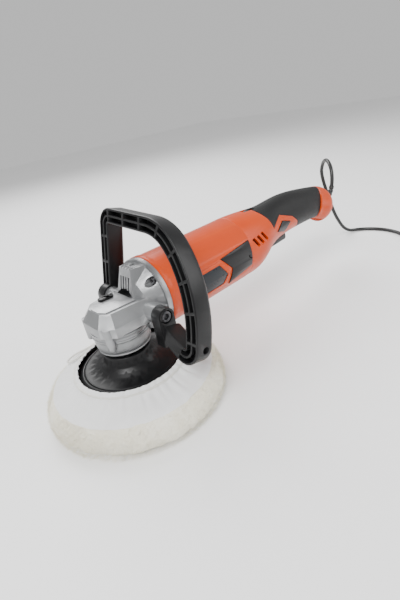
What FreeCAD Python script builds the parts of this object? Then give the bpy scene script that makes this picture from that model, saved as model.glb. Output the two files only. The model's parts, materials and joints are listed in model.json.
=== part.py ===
import FreeCAD, Part
import math
import os
from FreeCAD import Vector

# Rotary polisher. Millimetres. +Z is up along the spindle, +X points to the rear handle,
# -Y is the machine's left. The origin is the centre of the bonnet's working face.

# ---- polishing head -------------------------------------------------------------------
bonnet_radius = 95.0
bonnet_skirt_hem_radius = 57.0
bonnet_cloth = 1.4
wool_thickness = 12.0
bonnet_gap = 0.3
pad_radius = 84.0
pad_rim = 10.0
pad_shelf_radius = 50.0
pad_shelf_z = 43.0
pad_hub_radius = 25.0
pad_top_z = 61.0
drawstring_radius = 1.1

# ---- spindle and its bearing ----------------------------------------------------------
thread_radius = 7.0
thread_clearance = 0.05
shoulder_radius = 11.0
shoulder_z = 62.5
bearing_z = 70.0
bearing_width = 11.0
spindle_bearing_bore = 7.5
spindle_bearing_outer = 17.5
gear_seat_radius = 7.0
journal_radius = 4.0
running = 0.05
free_gap = 0.4

# ---- bevel gears ----------------------------------------------------------------------
motor_z = 102.0
gear_teeth = 40
pinion_teeth = 10
gear_pitch_radius = 24.4
face_width = 8.0
tooth_addendum = 0.8
tooth_dedendum = 1.3
tooth_fill = 0.30

# ---- gear case ------------------------------------------------------------------------
cover_bottom_z = 66.0
parting_z = 90.0
case_top_z = 111.0
case_shoulder_z = 99.5
case_front = 29.5
case_half_width = 30.0
case_wall = 3.5
flange_x = 36.0
housing_x = 41.6
flange_radius = 39.3
hood_top_z = 138.0
bush_radius = 7.5
screw_circle = 33.0
ear_x = 21.5
ear_z = 99.0
ear_face = 41.0
ear_radius = 9.0
ear_thickness = 12.0
handle_bolt_radius = 3.5

# ---- motor ----------------------------------------------------------------------------
shaft_radius = 4.0
nose_radius = 3.2
front_seat_radius = 6.0
front_bearing_outer = 16.0
front_bearing_width = 9.0
rear_bearing_outer = 11.0
rear_bearing_width = 7.0
core_radius = 20.4
core_x = 73.0
core_length = 53.0
air_gap = 0.6
stator_radius = 33.0
commutator_radius = 12.0
commutator_x = 138.0
commutator_length = 16.0
fan_radius = 28.0
brush_x = 146.0
brush_gap = 0.35

# ---- motor housing and rear body ------------------------------------------------------
housing_radius = 39.0
housing_wall = 3.0
seam_x = 166.0
body_wall = 4.5
grip_thickness = 2.0
body_end_x = 370.0
cap_end_x = 388.0
cap_axis_z = 97.0
cap_lap_radius = 24.5
panel_gap = 0.3
panel_thickness = 2.2

# ---- D-handle -------------------------------------------------------------------------
handle_width = 21.0
handle_thickness = 15.5
handle_tilt = 15.0
handle_bow_x = 30.0
handle_wall = 2.2
handle_rib = 2.0
pocket_depth = 9.0

# ---- controls -------------------------------------------------------------------------
trigger_pivot_x = 232.0
trigger_pivot_z = 87.5
trigger_half_width = 8.5
dial_x = 209.0
dial_z = 128.5
dial_radius = 10.0
dial_width = 6.0

# ---- mains cord -----------------------------------------------------------------------
cord_radius = 2.9
sleeve_radius = 4.8
sleeve_bend = 24.0
coil_centre = Vector(520, -150, 0)
coil_mean_radius = 33.0
coil_columns = 2
coil_layers = 4

X = Vector(1, 0, 0)
Y = Vector(0, 1, 0)
Z = Vector(0, 0, 1)


def save(name, shape):
    """Write one sub-part, checked closed and valid, to its STEP file."""
    assert shape.isValid() and shape.Solids, name
    shape.exportStep("parts/%s.step" % name)
    print("%-24s %2d solids %10.0f mm3" % (name, len(shape.Solids), shape.Volume))


def group(shapes):
    """Several separate solids as one compound."""
    return Part.makeCompound(list(shapes))


def fused(shapes):
    """Several solids joined into one, with seams removed."""
    shapes = list(shapes)
    return shapes[0].multiFuse(shapes[1:]).removeSplitter()


def cut(base, tools):
    """base with every tool removed."""
    return base.cut(list(tools))


def polygon(points):
    """Face bounded by straight edges through 3D points."""
    return Part.Face(Part.makePolygon(list(points) + [points[0]]))


def revolved(profile):
    """Solid of revolution round the spindle; profile is (radius, z) pairs."""
    face = polygon([Vector(r, 0, z) for r, z in profile])
    return face.revolve(Vector(), Z, 360)


def turned(profile):
    """Solid of revolution round the motor axis; profile is (x, radius) pairs."""
    face = polygon([Vector(x, 0, motor_z + r) for x, r in profile])
    return face.revolve(Vector(0, 0, motor_z), X, 360)


def rod_x(radius, x0, x1, y=0.0, z=None):
    """Cylinder along X between two stations."""
    base = Vector(x0, y, motor_z if z is None else z)
    return Part.makeCylinder(radius, x1 - x0, base, X)


def rod_y(radius, y0, y1, x, z):
    """Cylinder along Y between two stations."""
    return Part.makeCylinder(radius, y1 - y0, Vector(x, y0, z), Y)


def rod_z(radius, z0, z1, x=0.0, y=0.0):
    """Cylinder along Z between two heights."""
    return Part.makeCylinder(radius, z1 - z0, Vector(x, y, z0), Z)


def block(x0, x1, y0, y1, z0, z1):
    """Box between two corners."""
    return Part.makeBox(x1 - x0, y1 - y0, z1 - z0, Vector(x0, y0, z0))


def plate_xz(outline, y0, y1):
    """Prism along Y from an outline of (x, z) pairs."""
    return polygon([Vector(x, y0, z) for x, z in outline]).extrude(Vector(0, y1 - y0, 0))


def loft(*outlines):
    """Flat-sided solid through outlines of 3D points."""
    wires = [Part.makePolygon(list(o) + [o[0]]) for o in outlines]
    return Part.makeLoft(wires, True, True)


def mirrored(shape):
    """The same shape on the machine's other side."""
    return shape.mirror(Vector(), Y)


def spun(shape, count, axis=Z, centre=Vector(), start=0.0):
    """Copies of shape at even angles round an axis."""
    copies = []
    for i in range(count):
        copy = shape.copy()
        copy.rotate(centre, axis, start + 360.0 * i / count)
        copies.append(copy)
    return copies


# ---- polishing head -------------------------------------------------------------------
pad_bottom_z = wool_thickness + bonnet_gap
pad_rim_top_z = pad_bottom_z + pad_rim
nut_bottom_z = pad_bottom_z + 12.0
nut_flange_radius = 2.2 * shoulder_radius


def pad_slope(radius):
    """Height of the pad's upper slope at a radius between the rim and the shelf."""
    rim = pad_radius - 4.0
    share = (rim - radius) / (rim - pad_shelf_radius)
    return pad_rim_top_z + share * (pad_shelf_z - pad_rim_top_z)


def pad_nut():
    """Steel M14 hub nut moulded into the pad."""
    nut = fused([rod_z(shoulder_radius, nut_bottom_z, shoulder_z),
                 rod_z(nut_flange_radius, nut_bottom_z, nut_bottom_z + 3)])
    return nut.cut(rod_z(thread_radius + thread_clearance, nut_bottom_z, shoulder_z))


def backing_pad():
    """Rubber pad: flat disc, upper slope, grooved shelf and a concave cone up to the hub."""
    profile = [(0, pad_bottom_z), (pad_radius - 2, pad_bottom_z), (pad_radius, pad_bottom_z + 2),
               (pad_radius, pad_rim_top_z - 3), (pad_radius - 4, pad_rim_top_z)]
    profile += [(pad_shelf_radius, pad_shelf_z), (pad_shelf_radius - 1, pad_shelf_z - 1.2),
                (pad_shelf_radius - 2, pad_shelf_z)]
    foot = pad_shelf_radius - 4
    rise = pad_top_z - 5 - pad_shelf_z
    steps = 5
    for i in range(steps + 1):
        turn = math.radians(90.0 * i / steps)
        profile.append((pad_hub_radius + (foot - pad_hub_radius) * (1 - math.sin(turn)),
                        pad_top_z - 5 - rise * math.cos(turn)))
    profile += [(pad_hub_radius, pad_top_z), (0, pad_top_z)]
    core = fused([rod_z(shoulder_radius, nut_bottom_z, pad_top_z + 1),
                  rod_z(nut_flange_radius, nut_bottom_z, nut_bottom_z + 3)])
    return cut(revolved(profile), [core])


skirt_line = [(bonnet_radius - 3, 21), (bonnet_radius - 4.5, 26), (bonnet_radius - 10, 31),
              (bonnet_skirt_hem_radius, pad_slope(bonnet_skirt_hem_radius) + bonnet_gap + bonnet_cloth)]


def skirt_height(radius):
    """Height of the bonnet's upper surface at a radius outside the hem."""
    for (outer, low), (inner, high) in zip(skirt_line, skirt_line[1:]):
        if radius >= inner:
            break
    return low + (outer - radius) / (outer - inner) * (high - low)


def bonnet():
    """Wool bonnet: working face, rolled side and gathered skirt, open over the pad's shelf."""
    hem = bonnet_skirt_hem_radius
    side = bonnet_radius
    outer = [(0, 0), (side - 12, 0), (side - 4, 3), (side, 10), (side - 0.5, 17)] + skirt_line
    outer += [(hem, pad_slope(hem) + bonnet_gap)]
    rim = pad_radius + bonnet_gap
    inner = [(pad_radius - 4 + bonnet_gap, pad_rim_top_z + 2 * bonnet_gap),
             (rim + bonnet_gap, pad_rim_top_z - 2), (rim, pad_bottom_z - bonnet_gap),
             (0, pad_bottom_z - bonnet_gap)]
    return revolved(outer + inner)


def drawstring():
    """Cord ring that gathers the skirt, with its knot on the machine's right."""
    ring_radius = bonnet_skirt_hem_radius + 2 * drawstring_radius
    ring_z = pad_slope(ring_radius) + bonnet_gap + bonnet_cloth + 2.6 * drawstring_radius
    ring = Part.makeTorus(ring_radius, drawstring_radius, Vector(0, 0, ring_z), Z)
    half = 2.5 * drawstring_radius
    start = Vector(-half, ring_radius, ring_z + 0.6 * drawstring_radius)
    return fused([ring, Part.makeCylinder(2.2 * drawstring_radius, 2 * half, start, X)])


bow_loop = [(-2.1, 60.5), (-10, 62.6), (-19, 62), (-27, 61.2), (-36.5, 61), (-41.5, 66), (-41.5, 73),
            (-36.5, 78), (-29.5, 78), (-20, 73), (-11, 67.5), (-2.4, 62.2)]


def drawstring_bow():
    """Two loops of the string's bow, lying on the skirt."""
    loops = []
    for side in (1, -1):
        points = [Vector(side * x, y, skirt_height(math.hypot(x, y)) + 2.4 * drawstring_radius)
                  for x, y in bow_loop]
        wire, radii = rounded_route(points)
        section = Part.Wire(Part.makeCircle(drawstring_radius, points[0], points[1] - points[0]))
        loops.append(wire.makePipeShell([section], True, False))
        print("bow radii", [round(r) for r in radii], "length %.0f mm" % wire.Length)
    return group(loops)


# ---- spindle --------------------------------------------------------------------------
bearing_top_z = bearing_z + bearing_width
gear_hub_z = bearing_top_z + 2.5
gear_apex_to_pitch = gear_pitch_radius * pinion_teeth / gear_teeth
pinion_pitch_radius = gear_apex_to_pitch
gear_top_z = motor_z - gear_apex_to_pitch + 2.0
bush_z = motor_z - 1.5


def spindle():
    """Output spindle: threaded nose, shoulder, bearing seat, gear seat and top journal."""
    collar = spindle_bearing_bore + 2
    journal_top = case_top_z - 4.5
    profile = [(0, shoulder_z - 26), (thread_radius - 1, shoulder_z - 26),
               (thread_radius, shoulder_z - 25), (thread_radius, shoulder_z),
               (shoulder_radius, shoulder_z), (shoulder_radius, bearing_z),
               (spindle_bearing_bore, bearing_z), (spindle_bearing_bore, bearing_top_z),
               (collar, bearing_top_z), (collar, gear_hub_z), (gear_seat_radius, gear_hub_z),
               (gear_seat_radius, gear_top_z - 3), (journal_radius, gear_top_z - 3),
               (journal_radius, journal_top), (0, journal_top)]
    return revolved(profile)


def bearing_rings(bore, outer, width, along, base):
    """Deep-groove ball bearing: (outer ring with balls, inner ring), from base along an axis."""
    mean = (bore + outer) / 2.0
    ball = 0.29 * (outer - bore)
    middle = base + along * (width / 2.0)
    groove = Part.makeTorus(mean, ball + running, middle, along)

    def ring(r0, r1):
        return Part.makeCylinder(r1, width, base, along).cut(
            Part.makeCylinder(r0, width, base, along)).cut(groove)

    across = Z if along.isEqual(X, 1e-6) else X
    ball_solid = Part.makeSphere(ball, middle + across * mean)
    count = int(2 * math.pi * mean / (2.6 * ball))
    balls = spun(ball_solid, count, along, base)
    gap = 0.11 * (outer - bore)
    return group([ring(mean + gap, outer)] + balls), ring(bore, mean - gap)


def spindle_seal():
    """Felt seal between the spindle's shoulder and the cover."""
    return rod_z(shoulder_radius + 4, cover_bottom_z + 0.5, bearing_z - 0.5).cut(
        rod_z(shoulder_radius + running, cover_bottom_z, bearing_z))


def spindle_bush():
    """Bronze bush in the case roof that carries the spindle's top journal."""
    top = case_top_z - 4.0
    return rod_z(bush_radius, bush_z, top).cut(rod_z(journal_radius + running, bush_z - 1, top))


# ---- bevel gears ----------------------------------------------------------------------
def bevel(teeth, mate_teeth, hub_radius, hub_length, bore):
    """Straight bevel gear about +Z with the cone apex at the origin, its teeth facing it."""
    pitch_angle = math.atan2(teeth, mate_teeth)
    pitch_radius = gear_pitch_radius * teeth / gear_teeth
    cone = pitch_radius / math.sin(pitch_angle)
    along = Vector(math.sin(pitch_angle), 0, math.cos(pitch_angle))
    out = Vector(math.cos(pitch_angle), 0, -math.sin(pitch_angle))
    inner = cone - face_width

    def at(distance, height, side):
        scale = distance / cone
        return along * distance + out * (height * scale) + Y * (side * scale)

    root_outer = at(cone, -tooth_dedendum, 0)
    root_inner = at(inner, -tooth_dedendum, 0)
    back = root_outer.z + hub_length
    blank = [Vector(bore, 0, root_inner.z), root_inner, root_outer,
             root_outer + Vector(-0.5, 0, 2.0), Vector(hub_radius, 0, root_outer.z + 2.5),
             Vector(hub_radius, 0, back), Vector(bore, 0, back)]
    body = polygon(blank).revolve(Vector(), Z, 360)
    pitch = 2 * math.pi * pitch_radius / teeth
    foot = 0.62 * tooth_fill * pitch + 0.2
    tip = 0.36 * tooth_fill * pitch

    def section(distance):
        low = -tooth_dedendum - 0.3
        return [at(distance, low, -foot), at(distance, low, foot),
                at(distance, tooth_addendum, tip), at(distance, tooth_addendum, -tip)]

    tooth = loft(section(cone - 0.02), section(inner + 0.02))
    return fused([body] + spun(tooth, teeth))


def spindle_gear():
    """Crown gear on the spindle."""
    hub_length = motor_z - gear_hub_z - (gear_apex_to_pitch + tooth_dedendum)
    gear = bevel(gear_teeth, pinion_teeth, gear_seat_radius + 5, hub_length, gear_seat_radius)
    gear.rotate(Vector(), X, 180)
    gear.translate(Vector(0, 0, motor_z))
    return gear


def pinion():
    """Bevel pinion on the armature shaft, half a tooth round from the gear's tooth."""
    gear = bevel(pinion_teeth, gear_teeth, pinion_pitch_radius - 1.2, 3.0, nose_radius)
    gear.rotate(Vector(), Z, 180.0 / pinion_teeth)
    gear.rotate(Vector(), Y, 90)
    gear.translate(Vector(0, 0, motor_z))
    return gear


# ---- gear case ------------------------------------------------------------------------
gear_chamber_radius = case_front - case_wall
cover_screw_points = [(screw_circle * 0.93 * math.cos(math.radians(a)),
                       screw_circle * 0.93 * math.sin(math.radians(a))) for a in (40, 140, 220, 320)]
flange_screw_points = [(screw_circle * math.cos(math.radians(a)),
                        motor_z + screw_circle * math.sin(math.radians(a)))
                       for a in (42, 138, 222, 318)]
cover_screw_radius = 1.8
flange_screw_radius = 2.0


def case_outline(front, corner, shoulder, waist, tail, z):
    """Shoe-shaped outline: front edge, cut corners, waist and the wide tail at the flange."""
    right = [(-front, corner), (-shoulder[0], shoulder[1]), (6, waist), (flange_x + 1, tail)]
    left = [(x, -y) for x, y in reversed(right)]
    return [Vector(x, y, z) for x, y in right + left]


def gear_case():
    """Cast gear case: faceted shoe, neck, rear flange, vent hood, side bosses."""
    low = (case_front, 15, (19, case_half_width - 2), case_half_width, flange_radius - 2)
    high = (case_front - 8, 10, (15, case_half_width - 11), case_half_width - 8, flange_radius - 12)
    shoe = loft(case_outline(*low, parting_z), case_outline(*low, case_shoulder_z))
    facets = loft(case_outline(*low, case_shoulder_z), case_outline(*high, case_top_z))
    band = [Vector(x, y, case_top_z - 1) for x, y in
            ((-21, -7), (-17, -15), (14, -19), (14, 19), (-17, 15), (-21, 7))]
    rib = polygon(band).extrude(Vector(0, 0, 2.2))
    neck = turned([(14, 0), (14, 9), (22, 25), (flange_x, flange_radius - 3), (flange_x, 0)])
    neck = neck.common(block(0, flange_x, -50, 50, parting_z, 160))
    flange = rod_x(flange_radius, flange_x, housing_x)
    bosses = [rod_y(ear_radius, -ear_face, ear_face, ear_x, ear_z)]
    bosses += [rod_z(4.2, parting_z, case_shoulder_z, x, y) for x, y in cover_screw_points]
    body = fused([shoe, facets, rib, neck, flange, vent_hood()] + bosses)
    chamber = rod_z(gear_chamber_radius, parting_z - 1, bush_z + 2)
    tunnel = rod_x(front_bearing_outer, ear_x - 8, housing_x + 1)
    bore = rod_z(bush_radius, bush_z, case_top_z - 4)
    cuts = [chamber, tunnel, bore, lock_pin_hole()]
    cuts += [rod_y(handle_bolt_radius, s * ear_face - 12, s * ear_face + 12, ear_x, ear_z)
             for s in (-1, 1)]
    cuts += [rod_z(cover_screw_radius, parting_z - 1, case_shoulder_z - 1.5, x, y)
             for x, y in cover_screw_points]
    cuts += [rod_x(flange_screw_radius, flange_x - 1, housing_x + 1, y, z)
             for y, z in flange_screw_points]
    cuts += [rod_x(4.6, flange_x - 12, flange_x, y, z) for y, z in flange_screw_points]
    return cut(body, cuts)


def vent_hood():
    """Sloped hood over the neck with front slots, a crenellated crown and a roof hole."""
    base = [Vector(12, -15, case_top_z - 8), Vector(12, 15, case_top_z - 8),
            Vector(flange_x, 21, case_top_z - 8), Vector(flange_x, -21, case_top_z - 8)]
    roof = [Vector(22, -10, hood_top_z), Vector(22, 9, hood_top_z),
            Vector(flange_x, 14, hood_top_z), Vector(flange_x, -14, hood_top_z)]
    crown = [block(21.4, 27, y - 1.3, y + 1.3, hood_top_z - 5, hood_top_z + 0.8)
             for y in (-7.6, -2.8, 2.0, 6.8)]
    slots = [block(8, 24, y - 1.25, y + 1.25, case_top_z + 3.5, case_top_z + 19)
             for y in (-6.6, -2.2, 2.2, 6.6)]
    roof_hole = rod_z(2.5, hood_top_z - 8, hood_top_z + 3, 31, 0)
    return cut(fused([loft(base, roof)] + crown), slots + [roof_hole])


def bearing_cover():
    """Rounded cover under the gear case with the spindle bearing's seat and an end ring."""
    top = case_front - 0.8
    ring = 27.0
    profile = [(shoulder_radius + 1, cover_bottom_z), (ring, cover_bottom_z),
               (ring, cover_bottom_z + 1.6), (ring - 1.5, cover_bottom_z + 2.2),
               (ring - 1.5, cover_bottom_z + 3), (ring + 0.5, cover_bottom_z + 3.6)]
    bowl = parting_z - cover_bottom_z - 3.6
    steps = 6
    for i in range(1, steps + 1):
        turn = math.radians(90.0 * i / steps)
        profile.append((ring + 0.5 + (top - ring - 0.5) * math.sin(turn),
                        parting_z - bowl * math.cos(turn)))
    profile += [(gear_chamber_radius, parting_z), (gear_chamber_radius, gear_hub_z - 1.5),
                (spindle_bearing_outer, bearing_top_z + 0.5), (spindle_bearing_outer, bearing_z),
                (shoulder_radius + 4, bearing_z), (shoulder_radius + 4, cover_bottom_z + 0.5),
                (shoulder_radius + 1, cover_bottom_z + 0.5)]
    bosses = [rod_z(4.2, parting_z - 13, parting_z, x, y) for x, y in cover_screw_points]
    chamber = rod_z(gear_chamber_radius, gear_hub_z - 1.5, parting_z)
    body = fused([revolved(profile)] + [b.cut(chamber) for b in bosses])
    holes = [rod_z(cover_screw_radius, cover_bottom_z, parting_z + 1, x, y)
             for x, y in cover_screw_points]
    heads = [rod_z(3.3, cover_bottom_z, parting_z - 9, x, y) for x, y in cover_screw_points]
    return cut(body, holes + heads)


def cover_screws():
    """Four socket screws that hold the bearing cover."""
    screws = []
    for x, y in cover_screw_points:
        head = rod_z(3.1, parting_z - 12, parting_z - 9, x, y)
        shank = rod_z(cover_screw_radius - 0.02, parting_z - 9, case_shoulder_z - 2, x, y)
        screws.append(head.fuse(shank).cut(rod_z(1.5, parting_z - 12, parting_z - 10.5, x, y)))
    return group(screws)


def flange_screws():
    """Four screws through the case's rear flange into the motor housing."""
    screws = []
    for y, z in flange_screw_points:
        head = rod_x(3.6, flange_x - 2.6, flange_x, y, z)
        shank = rod_x(flange_screw_radius - 0.02, flange_x, housing_x + 16, y, z)
        slot = rod_x(1.4, flange_x - 2.6, flange_x - 1, y, z)
        screws.append(head.fuse(shank).cut(slot))
    return group(screws)


# ---- spindle lock ---------------------------------------------------------------------
lock_x = 0.5
lock_y = 12.5
lock_travel = 3.0
lock_pin_radius = 2.0


def lock_outline(margin, z):
    """Slanted button outline grown by a margin."""
    right, half = 8.5 + margin, 5.0 + margin
    return [Vector(lock_x - right, lock_y + half * 0.4, z), Vector(lock_x - right * 0.5, lock_y + half, z),
            Vector(lock_x + right, lock_y + half * 0.2, z), Vector(lock_x + right * 0.5, lock_y - half, z),
            Vector(lock_x - right * 0.9, lock_y - half * 0.6, z)]


def lock_pin_hole():
    """Button well and pin hole through the case roof."""
    well = polygon(lock_outline(free_gap, case_top_z - 3.2)).extrude(Vector(0, 0, 6))
    return well.fuse(rod_z(lock_pin_radius + running, parting_z, case_top_z, lock_x - 1, lock_y))


def spindle_lock_button():
    """Black button over the lock pin."""
    top = case_top_z + 3.4
    cap = polygon(lock_outline(0, case_top_z + free_gap)).extrude(Vector(0, 0, top - case_top_z - free_gap))
    grooves = [block(lock_x + dx - 0.5, lock_x + dx + 0.5, lock_y - 4, lock_y + 4, top - 0.6, top + 1)
               for dx in (-4, -1, 2, 5)]
    return cut(cap, grooves)


def spindle_lock_pin():
    """Steel pin that the button pushes towards the crown gear's web."""
    low = gear_top_z + free_gap + lock_travel
    return rod_z(lock_pin_radius, low, case_top_z + free_gap, lock_x - 1, lock_y)


# ---- motor ----------------------------------------------------------------------------
core_end_x = core_x + core_length
front_bearing_x = flange_x - 4.0
rear_bearing_x = seam_x - rear_bearing_width
bore_radius = core_radius + air_gap


def armature_shaft():
    """Motor shaft with the front bearing's larger seat."""
    shoulder = front_bearing_x + front_bearing_width
    return turned([(17.5, 0), (17.5, nose_radius), (front_bearing_x - 1, nose_radius),
                   (front_bearing_x - 1, front_seat_radius), (shoulder + 1, front_seat_radius),
                   (shoulder + 1, shaft_radius), (seam_x + 3, shaft_radius), (seam_x + 3, 0)])


def armature_core():
    """Laminated armature core with open winding slots."""
    core = rod_x(core_radius, core_x, core_end_x).cut(rod_x(shaft_radius, core_x, core_end_x))
    slot = block(core_x, core_end_x, -1.2, 1.2, motor_z + core_radius - 5, motor_z + core_radius + 1)
    return cut(core, spun(slot, 12, X, Vector(0, 0, motor_z)))


def armature_windings():
    """Wire heads at both ends of the core."""
    front = turned([(core_x - 9, shaft_radius), (core_x - 9, 13), (core_x - 4, 18),
                    (core_x, 18), (core_x, shaft_radius)])
    rear = turned([(core_end_x, shaft_radius), (core_end_x, 18), (core_end_x + 4, 18),
                   (core_end_x + 9, 12.5), (core_end_x + 9, shaft_radius)])
    return group([front, rear])


def commutator():
    """Copper commutator with its segment gaps."""
    body = rod_x(commutator_radius, commutator_x, commutator_x + commutator_length)
    body = body.cut(rod_x(shaft_radius, commutator_x, commutator_x + commutator_length))
    gap = block(commutator_x - 1, commutator_x + commutator_length + 1, -0.3, 0.3,
                motor_z + commutator_radius - 1, motor_z + commutator_radius + 1)
    return cut(body, spun(gap, 24, X, Vector(0, 0, motor_z)))


def cooling_fan():
    """Radial fan behind the front bearing."""
    front = housing_x + 3.0
    hub = turned([(front, shaft_radius), (front, 9), (front + 12, 9), (front + 12, shaft_radius)])
    plate = turned([(front + 2, 8), (front + 2, fan_radius), (front + 4, fan_radius), (front + 4, 8)])
    blade = block(front + 3.8, front + 12, -0.8, 0.8, motor_z + 8, motor_z + fan_radius - 0.5)
    return fused([hub, plate] + spun(blade, 12, X, Vector(0, 0, motor_z)))


def air_baffle():
    """Ring that guides cooling air into the fan."""
    inner = housing_radius - housing_wall
    return turned([(60, 22), (60, inner), (62.5, inner), (62.5, 22)])


def stator_core():
    """Field lamination stack: yoke and two pole shoes."""
    yoke = turned([(core_x, stator_radius - 5), (core_x, stator_radius),
                   (core_end_x, stator_radius), (core_end_x, stator_radius - 5)])
    ring = turned([(core_x, bore_radius), (core_x, stator_radius - 4),
                   (core_end_x, stator_radius - 4), (core_end_x, bore_radius)])
    poles = [ring.common(wedge(90 + s * 90, 44)) for s in (-1, 1)]
    return fused([yoke] + poles)


def wedge(middle, half_angle, reach=60.0):
    """Sector prism along X round the motor axis; angles are from +Y towards +Z."""
    def corner(angle):
        turn = math.radians(angle)
        return Vector(core_x - 20, reach * math.cos(turn), motor_z + reach * math.sin(turn))

    points = [Vector(core_x - 20, 0, motor_z), corner(middle - half_angle), corner(middle),
              corner(middle + half_angle)]
    return polygon(points).extrude(Vector(core_length + 40, 0, 0))


def field_coils():
    """Two field coils round the pole shoes."""
    def ring(margin, x0, x1):
        return turned([(x0, bore_radius + 1 - margin), (x0, stator_radius - 5.5 + margin),
                       (x1, stator_radius - 5.5 + margin), (x1, bore_radius + 1 - margin)])

    shell = ring(0, core_x - 8, core_end_x + 8)
    window = ring(2, core_x - 0.5, core_end_x + 0.5)
    coils = []
    for middle in (0, 180):
        coil = shell.common(wedge(middle, 62)).cut(window.common(wedge(middle, 46)))
        coils.append(coil)
    return group(coils)


def brush_holders():
    """Brass brush tubes each side of the commutator."""
    inner = commutator_radius + 2
    outer = housing_radius - housing_wall - 0.5
    left = block(brush_x - 5, brush_x + 5, inner, outer, motor_z - 6.5, motor_z + 6.5)
    left = left.cut(block(brush_x - 3.6, brush_x + 3.6, inner, outer - 1.5, motor_z - 5.1, motor_z + 5.1))
    return group([left, mirrored(left)])


def carbon_brushes():
    """Carbon brushes riding on the commutator."""
    face = commutator_radius + brush_gap
    one = block(brush_x - 3.5, brush_x + 3.5, face, face + 13, motor_z - 5, motor_z + 5)
    return group([one, mirrored(one)])


def brush_springs():
    """Springs that press the brushes in."""
    start = commutator_radius + brush_gap + 13
    end = housing_radius - housing_wall - 2
    one = rod_y(3.0, start, end, brush_x, motor_z).cut(rod_y(2.2, start, end, brush_x, motor_z))
    return group([one, mirrored(one)])


# ---- motor housing --------------------------------------------------------------------
cover_outline = [(116, 115.5), (164.6, 119.5), (164.6, 90), (126, 81.5), (130, 100)]
label_outline = [(66, 110), (111, 110.8), (121.5, 96.5), (114.5, 87), (66, 86)]
border_outline = [(58, 113.5), (112.8, 114.5), (126.2, 99.8), (121, 82), (58, 82.5)]


def grown(outline, margin):
    """Outline moved outwards by a margin, corner by corner."""
    wire = Part.makePolygon([Vector(x, 0, z) for x, z in outline + outline[:1]])
    offset = wire.makeOffset2D(margin, 2)
    return [(v.X, v.Z) for v in offset.OrderedVertexes]


def side_panel(outline, r0, r1):
    """Curved panel on the machine's left between two radii round the motor axis."""
    shell = turned([(40, r0), (40, r1), (seam_x, r1), (seam_x, r0)])
    return shell.common(plate_xz(outline, -60, -4))


def motor_housing():
    """Moulded motor tube: front ring, label borders, cover recesses, ribs and rear bulkhead."""
    inner = housing_radius - housing_wall
    tube = turned([(housing_x, inner), (housing_x, flange_radius + 0.5),
                   (housing_x + 5, flange_radius + 0.5), (housing_x + 7, housing_radius),
                   (seam_x, housing_radius), (seam_x, inner)])
    bulkhead = turned([(rear_bearing_x, rear_bearing_outer), (rear_bearing_x, inner + 1),
                       (seam_x, inner + 1), (seam_x, rear_bearing_outer)])
    rib = block(core_x - 2, core_end_x + 2, -2, 2, motor_z + stator_radius, motor_z + inner + 1)
    ribs = spun(rib, 8, X, Vector(0, 0, motor_z), 22.5)
    bosses = [rod_x(4.2, housing_x, housing_x + 17, y, z).common(rod_x(inner + 1, housing_x, 70))
              for y, z in flange_screw_points]
    border = side_panel(border_outline, housing_radius - 1, housing_radius + 0.9)
    holders = block(brush_x - 6.5, brush_x + 6.5, 26, inner + 1, motor_z - 8, motor_z + 8)
    pockets = block(brush_x - 5, brush_x + 5, 13, inner - 0.5, motor_z - 6.5, motor_z + 6.5)
    body = fused([tube, bulkhead, border, mirrored(border), holders, mirrored(holders)]
                 + ribs + bosses)
    label_cut = side_panel(grown(label_outline, panel_gap), housing_radius - 0.4, housing_radius + 5)
    floor = housing_radius - panel_thickness
    cover_cut = side_panel(grown(cover_outline, panel_gap), floor, housing_radius + 5)
    vent = block(rear_bearing_x - 1, seam_x + 1, -3.5, 3.5, motor_z + 15, motor_z + 30)
    cuts = spun(vent, 6, X, Vector(0, 0, motor_z), 30) + [pockets, mirrored(pockets)]
    cuts += [label_cut, mirrored(label_cut), cover_cut, mirrored(cover_cut)]
    cuts += [rod_x(flange_screw_radius, housing_x - 1, housing_x + 16, y, z)
             for y, z in flange_screw_points]
    return cut(body, cuts)


def brush_cover():
    """Chevron cover over the left brush, with its short curved slot."""
    base = housing_radius - panel_thickness
    cover = side_panel(cover_outline, base, housing_radius + 0.7)
    slot = rod_y(5.5, -60, 0, 164, 104).cut(rod_y(4.3, -60, 0, 164, 104))
    slot = slot.common(block(155, 164, -60, -housing_radius + 1.2, 98.5, 104))
    return cover.cut(slot)


def label_plate():
    """Blank rating plate in its raised border."""
    return side_panel(label_outline, housing_radius - 0.4, housing_radius + 0.6)


# ---- rear body ------------------------------------------------------------------------
# Stations along the handle: x, height of the section's centre, half width, half height.
body_stations = [(seam_x, motor_z, housing_radius, housing_radius),
                 (seam_x + 14, motor_z, housing_radius - 0.2, housing_radius - 0.2),
                 (196, 102.6, 37.4, 37.2), (214, 105.8, 33.0, 32.4), (232, 108.8, 28.0, 28.2),
                 (252, 111.2, 25.0, 26.8), (292, 112.2, 24.0, 26.0), (332, 109.0, 23.0, 24.0),
                 (body_end_x, 103.0, 21.8, 22.6)]


def section_wire(x, z, half_width, half_height):
    """Elliptical section as a periodic curve that always starts at its top."""
    points = []
    for i in range(24):
        turn = 2 * math.pi * i / 24
        points.append(Vector(x, -half_width * math.sin(turn), z + half_height * math.cos(turn)))
    curve = Part.BSplineCurve()
    curve.interpolate(points, PeriodicFlag=True)
    return Part.Wire(curve.toShape())


def handle_shape(inset):
    """Smooth body from the seam to the end cap, smaller all round by the inset."""
    wires = [section_wire(x, z, w - inset, h - inset) for x, z, w, h in body_stations]
    return Part.makeLoft(wires, True, False)


grip_outline = [(209, 150), (211.5, 136), (217.5, 126), (221, 113), (244, 123), (270, 113.5),
                (284, 103), (297, 80), (297, 60), (body_end_x, 60), (body_end_x, 150)]
lock_on_outline = [(231, 105.5), (245.5, 115), (265.5, 108), (253.5, 98)]
lock_on_travel = 3.0
trigger_slot = (trigger_pivot_x - 6.5, trigger_pivot_x + 44.5)
switch_floor_z = 101.0
body_screw_points = [(186, 73.5), (219, 92), (310, 98), (338, 116)]
screw_head_depth = 3.6


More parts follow.
